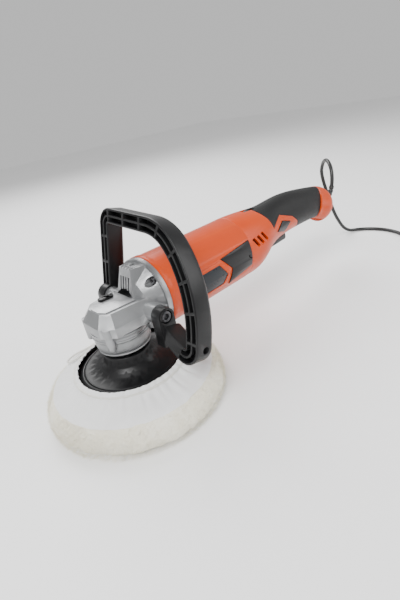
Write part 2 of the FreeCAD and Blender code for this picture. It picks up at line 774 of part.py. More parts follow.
def body_half_width(x, z):
    """Half width of the rear body at a station and height."""
    for low, high in zip(body_stations, body_stations[1:]):
        if x <= high[0]:
            break
    share = (x - low[0]) / (high[0] - low[0])
    middle, width, height = (low[i] + share * (high[i] - low[i]) for i in (1, 2, 3))
    return width * math.sqrt(1.0 - ((z - middle) / height) ** 2)


def grip_skin():
    """Rubber overmould, both sides together."""
    skin = handle_shape(0).cut(handle_shape(grip_thickness))
    return cut(skin.common(plate_xz(grip_outline, -60, 60)), [dial_window()] + screw_tools())


def dial_window():
    """Opening in the roof of the body for the speed dial."""
    half_width = dial_width / 2 + 1.6
    return block(dial_x - 10.5, dial_x + 10.5, -half_width, half_width, 120, 150)


def screw_tools():
    """Clearance holes and head recesses of the body screws."""
    tools = []
    for x, z in body_screw_points:
        seat = screw_head_depth - body_half_width(x, z)
        tools.append(rod_y(1.6, seat, 10, x, z))
        tools.append(rod_y(3.3, -60, seat, x, z))
    return [mirrored(tool) for tool in tools]


def rear_shell(skin):
    """Both clamshell halves together, before they are parted down the middle."""
    shell = handle_shape(0).cut(handle_shape(body_wall)).cut(skin)
    rib = block(292, 295, -40, 40, 60, 150).common(handle_shape(body_wall - 0.2))
    rib = rib.cut(block(286, 301, -9, 9, 98, 124))
    posts = [rod_y(3.4, -30, 30, x, z).common(handle_shape(body_wall - 0.2))
             for x, z in body_screw_points]
    pin_boss = rod_y(3.6, -22, 22, trigger_pivot_x, trigger_pivot_z).common(handle_shape(body_wall - 0.2))
    shell = fused([shell, rib, pin_boss] + posts)
    trigger_half = trigger_half_width + free_gap
    cuts = [block(trigger_slot[0], trigger_slot[1], -trigger_half, trigger_half, 60, 94)]
    cuts += [plate_xz(grown(lock_on_outline, free_gap), -40, -8)]
    cuts += [dial_window()] + screw_tools()
    cuts += [rod_y(1.5, -12.5, 12.5, trigger_pivot_x, trigger_pivot_z)]
    return cut(shell, cuts + rear_vents())


def rear_vents():
    """Slanted outlet slots behind the brush cover, on both sides."""
    slots = []
    for x, z in ((171.5, 117.0), (180.3, 117.5), (189.4, 118.5)):
        slot = plate_xz([(x, z), (x + 4.2, z + 1.2), (x + 11.6, z - 10), (x + 7.6, z - 11.2)], -60, -20)
        slots += [slot, mirrored(slot)]
    return slots


def half(shape, side):
    """The part of a shape on one side of the middle plane."""
    return shape.common(block(100, 450, min(0, side * 80), max(0, side * 80), 0, 200))


def body_screws():
    """Four screws from the right half into the left half."""
    screws = []
    for x, z in body_screw_points:
        seat = screw_head_depth - body_half_width(x, z)
        head = rod_y(3.0, seat - 2, seat, x, z).cut(rod_y(1.2, seat - 2, seat - 0.8, x, z))
        screws.append(head.fuse(rod_y(1.55, seat, 9, x, z)))
    return mirrored(group(screws))


def end_cap():
    """Flared cap that closes the handle and carries the cord sleeve."""
    rear = cap_end_x - body_end_x
    sections = [(body_end_x - 30, 107.5, 24.0, 25.2), (body_end_x - 14, 103.5, 24.2, 26.0),
                (body_end_x - 4, 100.0, 24.4, 27.2), (body_end_x + 0.25 * rear, 98.8, 23.8, 26.0),
                (body_end_x + 0.65 * rear, cap_axis_z + 0.6, 21.2, 22.6),
                (cap_end_x - 1.5, cap_axis_z, 17.5, 18.5), (cap_end_x, cap_axis_z, 15.5, 16.5)]
    cap = Part.makeLoft([section_wire(*s) for s in sections], True, False)
    reach = rod_y(cap_lap_radius, -60, 60, body_end_x - 1, 103)
    cap = cap.common(reach.fuse(block(body_end_x - 1, cap_end_x + 5, -60, 60, 50, 150)))
    cap = cap.cut(handle_shape(0))
    hollow = rod_x(12, body_end_x - 1, cap_end_x - 6, 0, cap_axis_z)
    return cut(cap, [hollow, rod_x(sleeve_radius, 300, 500, 0, cap_axis_z)])


# ---- controls and wiring --------------------------------------------------------------
trigger_swing = 7.0
trigger_heel_x = trigger_pivot_x + 41.0
plunger_x = trigger_pivot_x + 23.0
spring_x = trigger_pivot_x + 34.0


def trigger():
    """Paddle trigger hinged at its front end."""
    top = trigger_pivot_z + 3.6
    low = trigger_pivot_z - 9.5
    outline = [(trigger_slot[0] + 1.5, low + 3.4), (trigger_pivot_x, low), (trigger_heel_x, low + 1),
               (trigger_heel_x + 1.8, low + 3.4), (trigger_heel_x, top - 1), (plunger_x, top),
               (trigger_pivot_x, top), (trigger_slot[0] + 1.8, trigger_pivot_z + 1)]
    body = plate_xz(outline, -trigger_half_width, trigger_half_width)
    return body.cut(rod_y(1.5 + running, -20, 20, trigger_pivot_x, trigger_pivot_z))


def trigger_pin():
    """Steel pivot of the trigger."""
    return rod_y(1.5, -12, 12, trigger_pivot_x, trigger_pivot_z)


def trigger_spring():
    """Return spring between the trigger's heel and the switch."""
    low = trigger_pivot_z + 3.6
    return rod_z(3.0, low, switch_floor_z, spring_x, 0).cut(rod_z(2.3, low, switch_floor_z, spring_x, 0))


def switch_body():
    """Switch block above the trigger with the plunger's bore."""
    body = block(plunger_x - 14, plunger_x + 17, -8, 8, switch_floor_z, switch_floor_z + 18)
    return body.cut(rod_z(2.6, switch_floor_z, switch_floor_z + 13, plunger_x, 0))


def switch_plunger():
    """Plunger that the trigger lifts."""
    return rod_z(2.5, trigger_pivot_z + 3.6 + free_gap, switch_floor_z + 8, plunger_x, 0)


def lock_on_button():
    """Lock-on button let into the left half, its face a millimetre proud."""
    proud = handle_shape(-1.0).cut(handle_shape(body_wall + 2.0))
    return proud.common(plate_xz(lock_on_outline, -40, -8))


def speed_dial():
    """Knurled thumbwheel on its cross axle."""
    wheel = rod_y(dial_radius, -dial_width / 2, dial_width / 2, dial_x, dial_z)
    notch = rod_y(0.8, -dial_width, dial_width, dial_x, dial_z + dial_radius + 0.2)
    wheel = cut(wheel, spun(notch, 24, Y, Vector(dial_x, 0, dial_z)))
    return wheel.fuse(rod_y(1.2, -dial_width / 2, dial_width / 2 + 6, dial_x, dial_z))


def speed_module():
    """Potted speed electronics with the dial's potentiometer."""
    board = block(182, 222, -14, 14, 97, 111)
    pot_y = dial_width / 2 + free_gap
    pot = block(dial_x - 8, dial_x + 8, pot_y, pot_y + 6.5, 110, dial_z + 2.4)
    return fused([board, pot]).cut(rod_y(1.2 + running, 0, 20, dial_x, dial_z))


def cord_clamp():
    """Clamp bar over the sleeve's inner end."""
    low = cap_axis_z + sleeve_radius
    return block(350, 360, -11, 11, low, low + 3)


def clamp_screws():
    """Two screws through the clamp bar's ends."""
    low = cap_axis_z + sleeve_radius
    return group([rod_z(2.6, low + 3, low + 5, 355, y) for y in (-8, 8)])


# ---- D-handle -------------------------------------------------------------------------
class Path:
    """Plane path of straight and round stretches, walked from a start point and heading."""

    def __init__(self, start, heading, moves):
        self.spans = []
        point, angle = start, heading
        for length, radius, turn in moves:
            self.spans.append((point, angle, length, radius, turn))
            point, angle = self.step(point, angle, length, radius, turn, 1.0)
        self.total = sum(s[2] for s in self.spans)

    @staticmethod
    def step(point, angle, length, radius, turn, share):
        """Point and heading after a share of one span."""
        a = math.radians(angle)
        if radius is None:
            return (point[0] + length * share * math.cos(a), point[1] + length * share * math.sin(a)), angle
        b = math.radians(angle + turn * share)
        return (point[0] + radius * (math.sin(b) - math.sin(a)),
                point[1] - radius * (math.cos(b) - math.cos(a))), angle + turn * share

    def spot(self, span, along, offset):
        """Point at a length along one span, moved to the path's right by offset."""
        point, angle, length, radius, turn = span
        place, heading = self.step(point, angle, length, radius, turn, along / length)
        a = math.radians(heading)
        return Vector(0, place[0] + offset * math.sin(a), place[1] - offset * math.cos(a))

    def edges(self, offset, start, end):
        """Exact edges of the offset path between two distances."""
        result, base = [], 0.0
        for span in self.spans:
            length, radius = span[2], span[3]
            low, high = max(start - base, 0.0), min(end - base, length)
            base += length
            if high - low < 1e-6:
                continue
            p, q = self.spot(span, low, offset), self.spot(span, high, offset)
            if radius is None:
                result.append(Part.LineSegment(p, q).toShape())
            else:
                middle = self.spot(span, (low + high) / 2.0, offset)
                result.append(Part.Arc(p, middle, q).toShape())
        return result

    def band(self, inner, outer, start, end):
        """Face between two offsets of the path."""
        there = self.edges(inner, start, end)
        back = self.edges(outer, start, end)
        ends = [Part.LineSegment(one.firstVertex().Point, other.firstVertex().Point).toShape()
                for one, other in ((there[0], back[0]),)]
        ends += [Part.LineSegment(one.lastVertex().Point, other.lastVertex().Point).toShape()
                 for one, other in ((there[-1], back[-1]),)]
        return Part.Face(Part.Wire(Part.sortEdges(there + back + ends, 1e-5)[0]))


def arc_move(radius, turn):
    """One round stretch for Path."""
    return (abs(math.radians(turn)) * radius, radius, turn)


handle_path = Path((ear_face + handle_thickness / 2, -10.0), 90.0, [
    (82.5, None, 0), arc_move(9.5, 93), (62.0, None, 0), arc_move(52.0, 42), arc_move(110.0, 44),
    (9.5, None, 0), arc_move(9.5, 116), (29.0, None, 0)])


def place_handle(shape):
    """Lean a shape built in the handle's own plane back about the bolt axis."""
    moved = shape.copy()
    moved.rotate(Vector(), Y, handle_tilt)
    moved.translate(Vector(handle_bow_x, 0, ear_z))
    return moved


def d_handle():
    """D-handle: cored bow with rounded back, and two ears bolted to the gear case."""
    half_width = handle_width / 2
    half_thickness = handle_thickness / 2
    bow = handle_path.band(-half_thickness, half_thickness, 0, handle_path.total)
    bow = bow.extrude(Vector(handle_width, 0, 0))
    bow.translate(Vector(-half_width, 0, 0))
    rear = [e for e in bow.Edges if e.BoundBox.XMin > half_width - 0.01]
    bow = bow.makeFillet(6.0, rear)
    front = [e for e in bow.Edges if e.BoundBox.XMax < -half_width + 0.01]
    bow = place_handle(cut(bow.makeFillet(1.2, front), handle_pockets()))
    outer = ear_face + ear_thickness
    far_ear = fused([rod_y(ear_radius + 2, ear_face, outer, ear_x, ear_z),
                     block(ear_x, handle_bow_x, ear_face, outer, ear_z - 10, ear_z + 10)])
    near_ear = fused([rod_y(ear_radius, -outer, -ear_face, ear_x, ear_z),
                      block(ear_x - ear_radius, ear_x + ear_radius, -outer, -ear_face, ear_z - 30, ear_z)])
    body = fused([bow, far_ear, near_ear])
    holes = [rod_y(handle_bolt_radius + 0.3, -80, 80, ear_x, ear_z),
             rod_y(6.6, outer - 6, 80, ear_x, ear_z), rod_y(6.6, -80, -outer + 6, ear_x, ear_z),
             rod_y(3.5, -120, -80, 24, 77)]
    clear = block(-10, 50, -ear_face, ear_face, 40, ear_z + 30)
    return cut(body, holes + [clear])


def handle_pockets():
    """Two rows of rectangular cores in the bow's front face."""
    pitch, web = 27.0, 2.6
    inner = handle_thickness / 2 - handle_wall
    pockets = []
    count = int((handle_path.total - 40.0) / pitch)
    for i in range(count):
        start = 18.0 + i * pitch
        for low, high in ((-inner, -handle_rib / 2), (handle_rib / 2, inner)):
            face = handle_path.band(low, high, start, start + pitch - web)
            pocket = face.extrude(Vector(pocket_depth, 0, 0))
            pocket.translate(Vector(-handle_width / 2 - 0.5, 0, 0))
            pockets.append(pocket)
    return pockets


def handle_bolts():
    """Two M8 bolts that hold the D-handle to the case."""
    outer = ear_face + ear_thickness
    seat = outer - 6
    shank = rod_y(handle_bolt_radius - 0.02, ear_face - 10, seat + 1.5, ear_x, ear_z)
    head = rod_y(5.6, seat + 1.5, seat + 5.5, ear_x, ear_z)
    bolt = head.fuse(shank).cut(rod_y(3.0, seat + 3, seat + 6, ear_x, ear_z))
    return group([bolt, mirrored(bolt)])


def handle_washers():
    """Washers under the handle bolts."""
    seat = ear_face + ear_thickness - 6
    washer = rod_y(6.3, seat, seat + 1.5, ear_x, ear_z).cut(
        rod_y(handle_bolt_radius + 0.1, seat, seat + 1.5, ear_x, ear_z))
    return group([washer, mirrored(washer)])


# ---- mains cord -----------------------------------------------------------------------
sleeve_start_x = body_end_x - 14.0
sleeve_straight_x = cap_end_x + 6.0
sleeve_turn = 75.0
floor_z = cord_radius + 0.1
coil_outer_column = coil_mean_radius + cord_radius


def sleeve_tip():
    """End point and direction of the cord sleeve."""
    a = math.radians(sleeve_turn)
    point = Vector(sleeve_straight_x + sleeve_bend * math.sin(a), 0,
                   cap_axis_z + sleeve_bend * (1 - math.cos(a)))
    return point, Vector(math.cos(a), 0, math.sin(a))


def strain_relief():
    """Flexible sleeve that turns the cord upwards behind the end cap."""
    straight = rod_x(sleeve_radius, sleeve_start_x, sleeve_straight_x, 0, cap_axis_z)
    flange = rod_x(8.0, cap_end_x - 9, cap_end_x - 6, 0, cap_axis_z)
    circle = Part.Face(Part.Wire(Part.makeCircle(sleeve_radius, Vector(sleeve_straight_x, 0, cap_axis_z), X)))
    bend = circle.revolve(Vector(sleeve_straight_x, 0, cap_axis_z + sleeve_bend), -Y, sleeve_turn)
    return fused([straight, flange, bend])


def cord_route():
    """Route points of the free cord from the sleeve to the coil."""
    tip, way = sleeve_tip()
    return [tip, tip + way * 8, Vector(424, 4, 139), Vector(434, 15, 149), Vector(446, 27, 149),
            Vector(457, 38, 141), Vector(463, 45, 123), Vector(467, 34, 83), Vector(482, 28, 42),
            Vector(509, 21, floor_z + 2), Vector(535, 5, floor_z), Vector(546, -30, floor_z),
            Vector(536, -66, floor_z), Vector(508, -92, floor_z), Vector(486, -122, floor_z),
            Vector(coil_centre.x - coil_outer_column, coil_centre.y, floor_z)]


def rounded_route(points):
    """Wire of straight runs and tangent arcs through a route, and its radii."""
    edges, radii = [], []
    at = points[0]
    for i in range(1, len(points) - 1):
        before, after = points[i] - points[i - 1], points[i + 1] - points[i]
        turn = before.getAngle(after)
        reach = 0.45 * min(before.Length, after.Length)
        radii.append(reach / math.tan(turn / 2))
        a, b = Vector(before).normalize(), Vector(after).normalize()
        enter, leave = points[i] - a * reach, points[i] + b * reach
        bisector = (b - a).normalize()
        centre = points[i] + bisector * (radii[-1] / math.cos(turn / 2))
        middle = centre - bisector * radii[-1]
        edges.append(Part.LineSegment(at, enter).toShape())
        edges.append(Part.Arc(enter, middle, leave).toShape())
        at = leave
    edges.append(Part.LineSegment(at, points[-1]).toShape())
    return Part.Wire(edges), radii


def cord_tube():
    """Free cord from the sleeve to the coil, and the short tail from the coil to the plug."""
    points = cord_route()
    wire, radii = rounded_route(points)
    start = points[1] - points[0]
    section = Part.Wire(Part.makeCircle(cord_radius, points[0], start))
    tube = wire.makePipeShell([section], True, False)
    expected = math.pi * cord_radius ** 2 * wire.Length
    print("cord radii", [round(r) for r in radii])
    print("cord run %.0f mm, volume %.0f against %.0f" % (wire.Length, tube.Volume, expected))
    end, way = plug_start()
    tail = Part.makeCylinder(cord_radius, 26.0, end - way * 26.0, way)
    return group([tube, tail])


coil_half_width = coil_columns * cord_radius
coil_height = coil_layers * 2 * cord_radius


def cord_coil():
    """Outer shape of the tied coil."""
    base = coil_centre + Z * (floor_z - cord_radius)
    ring = Part.makeCylinder(coil_mean_radius + coil_half_width, coil_height, base, Z)
    return ring.cut(Part.makeCylinder(coil_mean_radius - coil_half_width, coil_height, base, Z))


plug_radius = 16.0


def plug_start():
    """Point where the cord enters the plug, and the plug's direction."""
    outer = coil_mean_radius + coil_half_width
    return coil_centre + Vector(30, -outer - 1.0, plug_radius + 0.1), Vector(X)


def plug_body():
    """Round moulded plug on its side beside the coil."""
    point, way = plug_start()
    neck = Part.makeCone(cord_radius + 1.6, cord_radius + 3.2, 22, point, way)
    body = Part.makeCone(9.5, plug_radius, 14, point + way * 22, way)
    face = Part.makeCylinder(plug_radius, 18, point + way * 36, way)
    return fused([neck, body, face])


def plug_pins():
    """Two round contact pins."""
    point, way = plug_start()
    return group([Part.makeCylinder(2.4, 19, point + way * 54 + Y * s * 9.5, way) for s in (-1, 1)])


def main():
    os.makedirs("parts", exist_ok=True)
    save("backing_pad", backing_pad())
    save("pad_nut", pad_nut())
    save("bonnet", bonnet())
    save("drawstring", drawstring())
    save("drawstring_bow", drawstring_bow())
    save("spindle", spindle())
    save("spindle_gear", spindle_gear())
    outer, inner = bearing_rings(spindle_bearing_bore, spindle_bearing_outer, bearing_width, Z,
                                 Vector(0, 0, bearing_z))
    save("spindle_bearing", outer)
    save("spindle_bearing_inner", inner)
    save("spindle_seal", spindle_seal())
    save("spindle_bush", spindle_bush())
    save("gear_case", gear_case())
    save("bearing_cover", bearing_cover())
    save("cover_screws", cover_screws())
    save("flange_screws", flange_screws())
    save("spindle_lock_button", spindle_lock_button())
    save("spindle_lock_pin", spindle_lock_pin())
    save("armature_shaft", armature_shaft())
    save("pinion", pinion())
    outer, inner = bearing_rings(front_seat_radius, front_bearing_outer, front_bearing_width, X,
                                 Vector(front_bearing_x, 0, motor_z))
    save("front_bearing", outer)
    save("front_bearing_inner", inner)
    outer, inner = bearing_rings(shaft_radius, rear_bearing_outer, rear_bearing_width, X,
                                 Vector(rear_bearing_x, 0, motor_z))
    save("rear_bearing", outer)
    save("rear_bearing_inner", inner)
    save("armature_core", armature_core())
    save("armature_windings", armature_windings())
    save("commutator", commutator())
    save("cooling_fan", cooling_fan())
    save("air_baffle", air_baffle())
    save("stator_core", stator_core())
    save("field_coils", field_coils())
    save("brush_holders", brush_holders())
    save("carbon_brushes", carbon_brushes())
    save("brush_springs", brush_springs())
    save("motor_housing", motor_housing())
    save("brush_covers", group([brush_cover(), mirrored(brush_cover())]))
    save("label_plates", group([label_plate(), mirrored(label_plate())]))
    skin = grip_skin()
    shell = rear_shell(skin)
    save("rear_body_left", half(shell, -1))
    save("rear_body_right", half(shell, 1))
    save("grip_left", half(skin, -1))
    save("grip_right", half(skin, 1))
    save("body_screws", body_screws())
    save("end_cap", end_cap())
    save("trigger", trigger())
    save("trigger_pin", trigger_pin())
    save("trigger_spring", trigger_spring())
    save("switch_body", switch_body())
    save("switch_plunger", switch_plunger())
    save("lock_on_button", lock_on_button())
    save("speed_dial", speed_dial())
    save("speed_module", speed_module())
    save("cord_clamp", cord_clamp())
    save("clamp_screws", clamp_screws())
    save("d_handle", d_handle())
    save("handle_bolts", handle_bolts())
    save("handle_washers", handle_washers())
    save("strain_relief", strain_relief())
    save("cord_tube", cord_tube())
    save("cord_coil", cord_coil())
    save("plug_body", plug_body())
    save("plug_pins", plug_pins())


main()
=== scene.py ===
"""Rotary polisher: the looks of every piece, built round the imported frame."""

import json
import logging
import math
import random
from collections.abc import Callable
from dataclasses import dataclass, field
from enum import Enum

import bmesh
import bpy
from mathutils import Matrix, Vector, noise

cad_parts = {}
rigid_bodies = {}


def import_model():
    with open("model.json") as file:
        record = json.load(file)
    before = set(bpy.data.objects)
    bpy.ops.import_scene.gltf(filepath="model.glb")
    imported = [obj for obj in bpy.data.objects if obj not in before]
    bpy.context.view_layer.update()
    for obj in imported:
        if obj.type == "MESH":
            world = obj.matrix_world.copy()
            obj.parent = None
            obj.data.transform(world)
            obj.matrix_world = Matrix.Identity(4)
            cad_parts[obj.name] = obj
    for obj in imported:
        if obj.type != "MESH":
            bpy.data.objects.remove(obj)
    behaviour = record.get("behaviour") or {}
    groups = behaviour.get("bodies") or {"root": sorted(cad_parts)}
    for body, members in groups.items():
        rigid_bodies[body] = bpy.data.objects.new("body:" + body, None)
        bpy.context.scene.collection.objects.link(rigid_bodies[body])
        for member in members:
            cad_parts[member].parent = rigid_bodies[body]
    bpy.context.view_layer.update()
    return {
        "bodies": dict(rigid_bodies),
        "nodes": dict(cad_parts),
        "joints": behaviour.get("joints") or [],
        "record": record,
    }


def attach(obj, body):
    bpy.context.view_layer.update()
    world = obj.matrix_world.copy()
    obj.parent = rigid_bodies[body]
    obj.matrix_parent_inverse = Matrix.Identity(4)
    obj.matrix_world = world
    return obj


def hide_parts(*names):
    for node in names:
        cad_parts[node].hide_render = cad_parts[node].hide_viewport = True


log = logging.getLogger("polisher")
MM = 0.001
DRIFT_SCALE = 22.0
WEAR_SCALE = 160.0
MERGE_DISTANCE = 0.000004
FLAT_DEGREES = 0.4
Colour = tuple[float, float, float]
Point = tuple[float, float, float]


# ---- node groups and finishes -----------------------------------------------------------
class Pattern(Enum):
    """What a surface's bump looks like."""

    SPARK = "fine moulded grain"
    CAST = "coarse cast skin"
    BRUSHED = "drawn metal"
    WOOL = "curled pile"
    CLOTH = "plain weave"
    TWIST = "laid string"


class Effects:
    """Shader node groups that several finishes share, each built once."""

    def __init__(self) -> None:
        """Builds the groups."""
        self.grain = self._grain()
        self.drift = self._drift()
        self.wear = self._wear()

    @staticmethod
    def _new(name: str, inputs: dict[str, float], outputs: dict[str, str]) -> bpy.types.NodeTree:
        """Makes an empty group.

        Args:
            name: the group's name.
            inputs: float inputs and their defaults.
            outputs: output names and socket types.

        Returns:
            The node group, with its input and output nodes named "in" and "out".
        """
        group = bpy.data.node_groups.new(name, "ShaderNodeTree")
        for label, value in inputs.items():
            socket = group.interface.new_socket(label, in_out="INPUT", socket_type="NodeSocketFloat")
            socket.default_value = value
        for label, kind in outputs.items():
            group.interface.new_socket(label, in_out="OUTPUT", socket_type=kind)
        group.nodes.new("NodeGroupInput").name = "in"
        group.nodes.new("NodeGroupOutput").name = "out"
        return group

    def _grain(self) -> bpy.types.NodeTree:
        """Two sizes of noise added up as a height.

        Returns:
            The group, with a Height output.
        """
        group = self._new("surface_grain", {"Scale": 900.0, "Coarse": 0.3}, {"Height": "NodeSocketFloat"})
        nodes, link = group.nodes, group.links.new
        place = nodes.new("ShaderNodeTexCoord")
        fine = nodes.new("ShaderNodeTexNoise")
        fine.inputs["Detail"].default_value = 3.0
        coarse = nodes.new("ShaderNodeTexNoise")
        coarse.inputs["Detail"].default_value = 4.0
        shrink = nodes.new("ShaderNodeMath")
        shrink.operation = "MULTIPLY"
        shrink.inputs[1].default_value = 0.08
        weigh = nodes.new("ShaderNodeMath")
        weigh.operation = "MULTIPLY_ADD"
        link(place.outputs["Object"], fine.inputs["Vector"])
        link(place.outputs["Object"], coarse.inputs["Vector"])
        link(nodes["in"].outputs["Scale"], fine.inputs["Scale"])
        link(nodes["in"].outputs["Scale"], shrink.inputs[0])
        link(shrink.outputs[0], coarse.inputs["Scale"])
        link(coarse.outputs["Fac"], weigh.inputs[0])
        link(nodes["in"].outputs["Coarse"], weigh.inputs[1])
        link(fine.outputs["Fac"], weigh.inputs[2])
        link(weigh.outputs[0], nodes["out"].inputs["Height"])
        return group

    def _drift(self) -> bpy.types.NodeTree:
        """Slow change of tone over a surface.

        Returns:
            The group, with a Mask output from 0 to 1.
        """
        group = self._new("tone_drift", {"Scale": 18.0}, {"Mask": "NodeSocketFloat"})
        nodes, link = group.nodes, group.links.new
        place = nodes.new("ShaderNodeTexCoord")
        cloud = nodes.new("ShaderNodeTexNoise")
        cloud.inputs["Detail"].default_value = 6.0
        cloud.inputs["Roughness"].default_value = 0.6
        spread = nodes.new("ShaderNodeMapRange")
        spread.inputs["From Min"].default_value = 0.3
        spread.inputs["From Max"].default_value = 0.7
        link(place.outputs["Object"], cloud.inputs["Vector"])
        link(nodes["in"].outputs["Scale"], cloud.inputs["Scale"])
        link(cloud.outputs["Fac"], spread.inputs["Value"])
        link(spread.outputs["Result"], nodes["out"].inputs["Mask"])
        return group

    def _wear(self) -> bpy.types.NodeTree:
        """Rubbed convex edges, broken up by noise.

        Returns:
            The group, with a Mask output that is 1 on worn edges.
        """
        group = self._new("edge_wear", {"Scale": 120.0, "Amount": 0.5}, {"Mask": "NodeSocketFloat"})
        nodes, link = group.nodes, group.links.new
        place = nodes.new("ShaderNodeTexCoord")
        shape = nodes.new("ShaderNodeNewGeometry")
        rough = nodes.new("ShaderNodeTexNoise")
        rough.inputs["Detail"].default_value = 4.0
        edge = nodes.new("ShaderNodeMapRange")
        edge.inputs["From Min"].default_value = 0.52
        edge.inputs["From Max"].default_value = 0.60
        both = nodes.new("ShaderNodeMath")
        both.operation = "MULTIPLY"
        scaled = nodes.new("ShaderNodeMath")
        scaled.operation = "MULTIPLY"
        link(place.outputs["Object"], rough.inputs["Vector"])
        link(nodes["in"].outputs["Scale"], rough.inputs["Scale"])
        link(shape.outputs["Pointiness"], edge.inputs["Value"])
        link(edge.outputs["Result"], both.inputs[0])
        link(rough.outputs["Fac"], both.inputs[1])
        link(both.outputs[0], scaled.inputs[0])
        link(nodes["in"].outputs["Amount"], scaled.inputs[1])
        link(scaled.outputs[0], nodes["out"].inputs["Mask"])
        return group


@dataclass(frozen=True)
class Finish:
    """One surface finish, in linear colour."""

    name: str
    colour: Colour
    tone: Colour
    worn: Colour
    roughness: float = 0.45
    rough_spread: float = 0.08
    metallic: float = 0.0
    pattern: Pattern = Pattern.SPARK
    scale: float = 1400.0
    depth: float = 0.00004
    wear: float = 0.35
    sheen: float = 0.0
    specular: float = 0.5

    def build(self, effects: Effects) -> bpy.types.Material:
        """Makes the material.

        Args:
            effects: the shared node groups.

        Returns:
            The material.
        """
        material = bpy.data.materials.new(self.name)
        material.use_nodes = True
        material.diffuse_color = (*self.colour, 1.0)
        nodes, link = material.node_tree.nodes, material.node_tree.links.new
        shader = nodes["Principled BSDF"]
        shader.inputs["Metallic"].default_value = self.metallic
        shader.inputs["Specular IOR Level"].default_value = self.specular
        shader.inputs["Sheen Weight"].default_value = self.sheen
        shader.inputs["Sheen Roughness"].default_value = 0.5

        def group(tree: bpy.types.NodeTree, **values: float) -> bpy.types.Node:
            """Places a shared group.

            Args:
                tree: the group.
                values: its inputs by name.

            Returns:
                The group's node.
            """
            node = nodes.new("ShaderNodeGroup")
            node.node_tree = tree
            for label, value in values.items():
                node.inputs[label].default_value = value
            return node

        def mixed(mask: bpy.types.NodeSocket, one: bpy.types.NodeSocket | Colour,
                  other: Colour) -> bpy.types.NodeSocket:
            """Goes from one colour to the other with a mask.

            Args:
                mask: the socket from 0 to 1.
                one: the colour, or its socket, where the mask is 0.
                other: the colour where the mask is 1.

            Returns:
                The mixed colour's socket.
            """
            mix = nodes.new("ShaderNodeMix")
            mix.data_type = "RGBA"
            link(mask, mix.inputs["Factor"])
            if isinstance(one, tuple):
                mix.inputs[6].default_value = (*one, 1.0)
            else:
                link(one, mix.inputs[6])
            mix.inputs[7].default_value = (*other, 1.0)
            return mix.outputs[2]

        drift = group(effects.drift, Scale=DRIFT_SCALE)
        wear = group(effects.wear, Scale=WEAR_SCALE, Amount=self.wear)
        colour = mixed(drift.outputs["Mask"], self.colour, self.tone)
        link(mixed(wear.outputs["Mask"], colour, self.worn), shader.inputs["Base Color"])
        rough = nodes.new("ShaderNodeMapRange")
        rough.inputs["To Min"].default_value = self.roughness - self.rough_spread
        rough.inputs["To Max"].default_value = self.roughness + self.rough_spread
        link(drift.outputs["Mask"], rough.inputs["Value"])
        link(rough.outputs["Result"], shader.inputs["Roughness"])
        bump = nodes.new("ShaderNodeBump")
        bump.inputs["Distance"].default_value = self.depth
        bump.inputs["Strength"].default_value = 1.0
        link(self._height(nodes, link, group, effects), bump.inputs["Height"])
        link(bump.outputs["Normal"], shader.inputs["Normal"])
        return material

    def _height(self, nodes: bpy.types.Nodes, link: Callable, group: Callable,
                effects: Effects) -> bpy.types.NodeSocket:
        """The bump's height for this finish's pattern.

        Args:
            nodes: the material's nodes.
            link: the call that joins two sockets.
            group: the call that places a group.
            effects: the shared node groups.

        Returns:
            The socket that gives the height.
        """
        coarse = {Pattern.CAST: 1.6, Pattern.WOOL: 2.0}.get(self.pattern, 0.4)
        grain = group(effects.grain, Scale=self.scale, Coarse=coarse)
        if self.pattern in (Pattern.SPARK, Pattern.CAST, Pattern.WOOL):
            return grain.outputs["Height"]
        place = nodes.new("ShaderNodeTexCoord")
        turn = nodes.new("ShaderNodeMapping")
        wave = nodes.new("ShaderNodeTexWave")
        wave.inputs["Scale"].default_value = self.scale
        wave.inputs["Distortion"].default_value = 1.5
        wave.inputs["Detail"].default_value = 2.0
        if self.pattern is Pattern.BRUSHED:
            turn.inputs["Scale"].default_value = (1.0, 0.05, 1.0)
            wave.inputs["Distortion"].default_value = 6.0
        if self.pattern is Pattern.TWIST:
            wave.bands_direction = "DIAGONAL"
        link(place.outputs["Object"], turn.inputs["Vector"])
        link(turn.outputs["Vector"], wave.inputs["Vector"])
        if self.pattern is not Pattern.CLOTH:
            return wave.outputs["Fac"]
        cross = nodes.new("ShaderNodeTexWave")
        cross.bands_direction = "Y"
        cross.inputs["Scale"].default_value = self.scale
        cross.inputs["Distortion"].default_value = 1.5
        link(turn.outputs["Vector"], cross.inputs["Vector"])
        join = nodes.new("ShaderNodeMath")
        join.operation = "ADD"
        link(wave.outputs["Fac"], join.inputs[0])
        link(cross.outputs["Fac"], join.inputs[1])
        return join.outputs[0]


ORANGE = Finish("orange_shell", (0.54, 0.050, 0.0005), (0.49, 0.043, 0.0005), (0.60, 0.09, 0.005),
                roughness=0.36, depth=0.00003, specular=0.28)
BLACK = Finish("black_plastic", (0.0045, 0.0045, 0.005), (0.007, 0.007, 0.0075), (0.018, 0.018, 0.018),
               roughness=0.34, depth=0.00004, specular=0.3)
GRIP = Finish("grip_rubber", (0.0055, 0.0055, 0.006), (0.009, 0.009, 0.009), (0.016, 0.016, 0.016),
              roughness=0.52, scale=1900.0, depth=0.00010, specular=0.25)
PAD = Finish("pad_rubber", (0.004, 0.004, 0.0045), (0.006, 0.006, 0.0065), (0.012, 0.012, 0.012),
             roughness=0.42, scale=500.0, depth=0.00003, specular=0.3)
CAST = Finish("cast_alloy", (0.30, 0.305, 0.31), (0.24, 0.245, 0.25), (0.56, 0.56, 0.57), roughness=0.36,
              metallic=0.75, pattern=Pattern.CAST, scale=1100.0, depth=0.00010, wear=0.8)
LABEL = Finish("label", (0.012, 0.015, 0.019), (0.016, 0.019, 0.023), (0.03, 0.03, 0.03),
               roughness=0.32, depth=0.00001, specular=0.28)
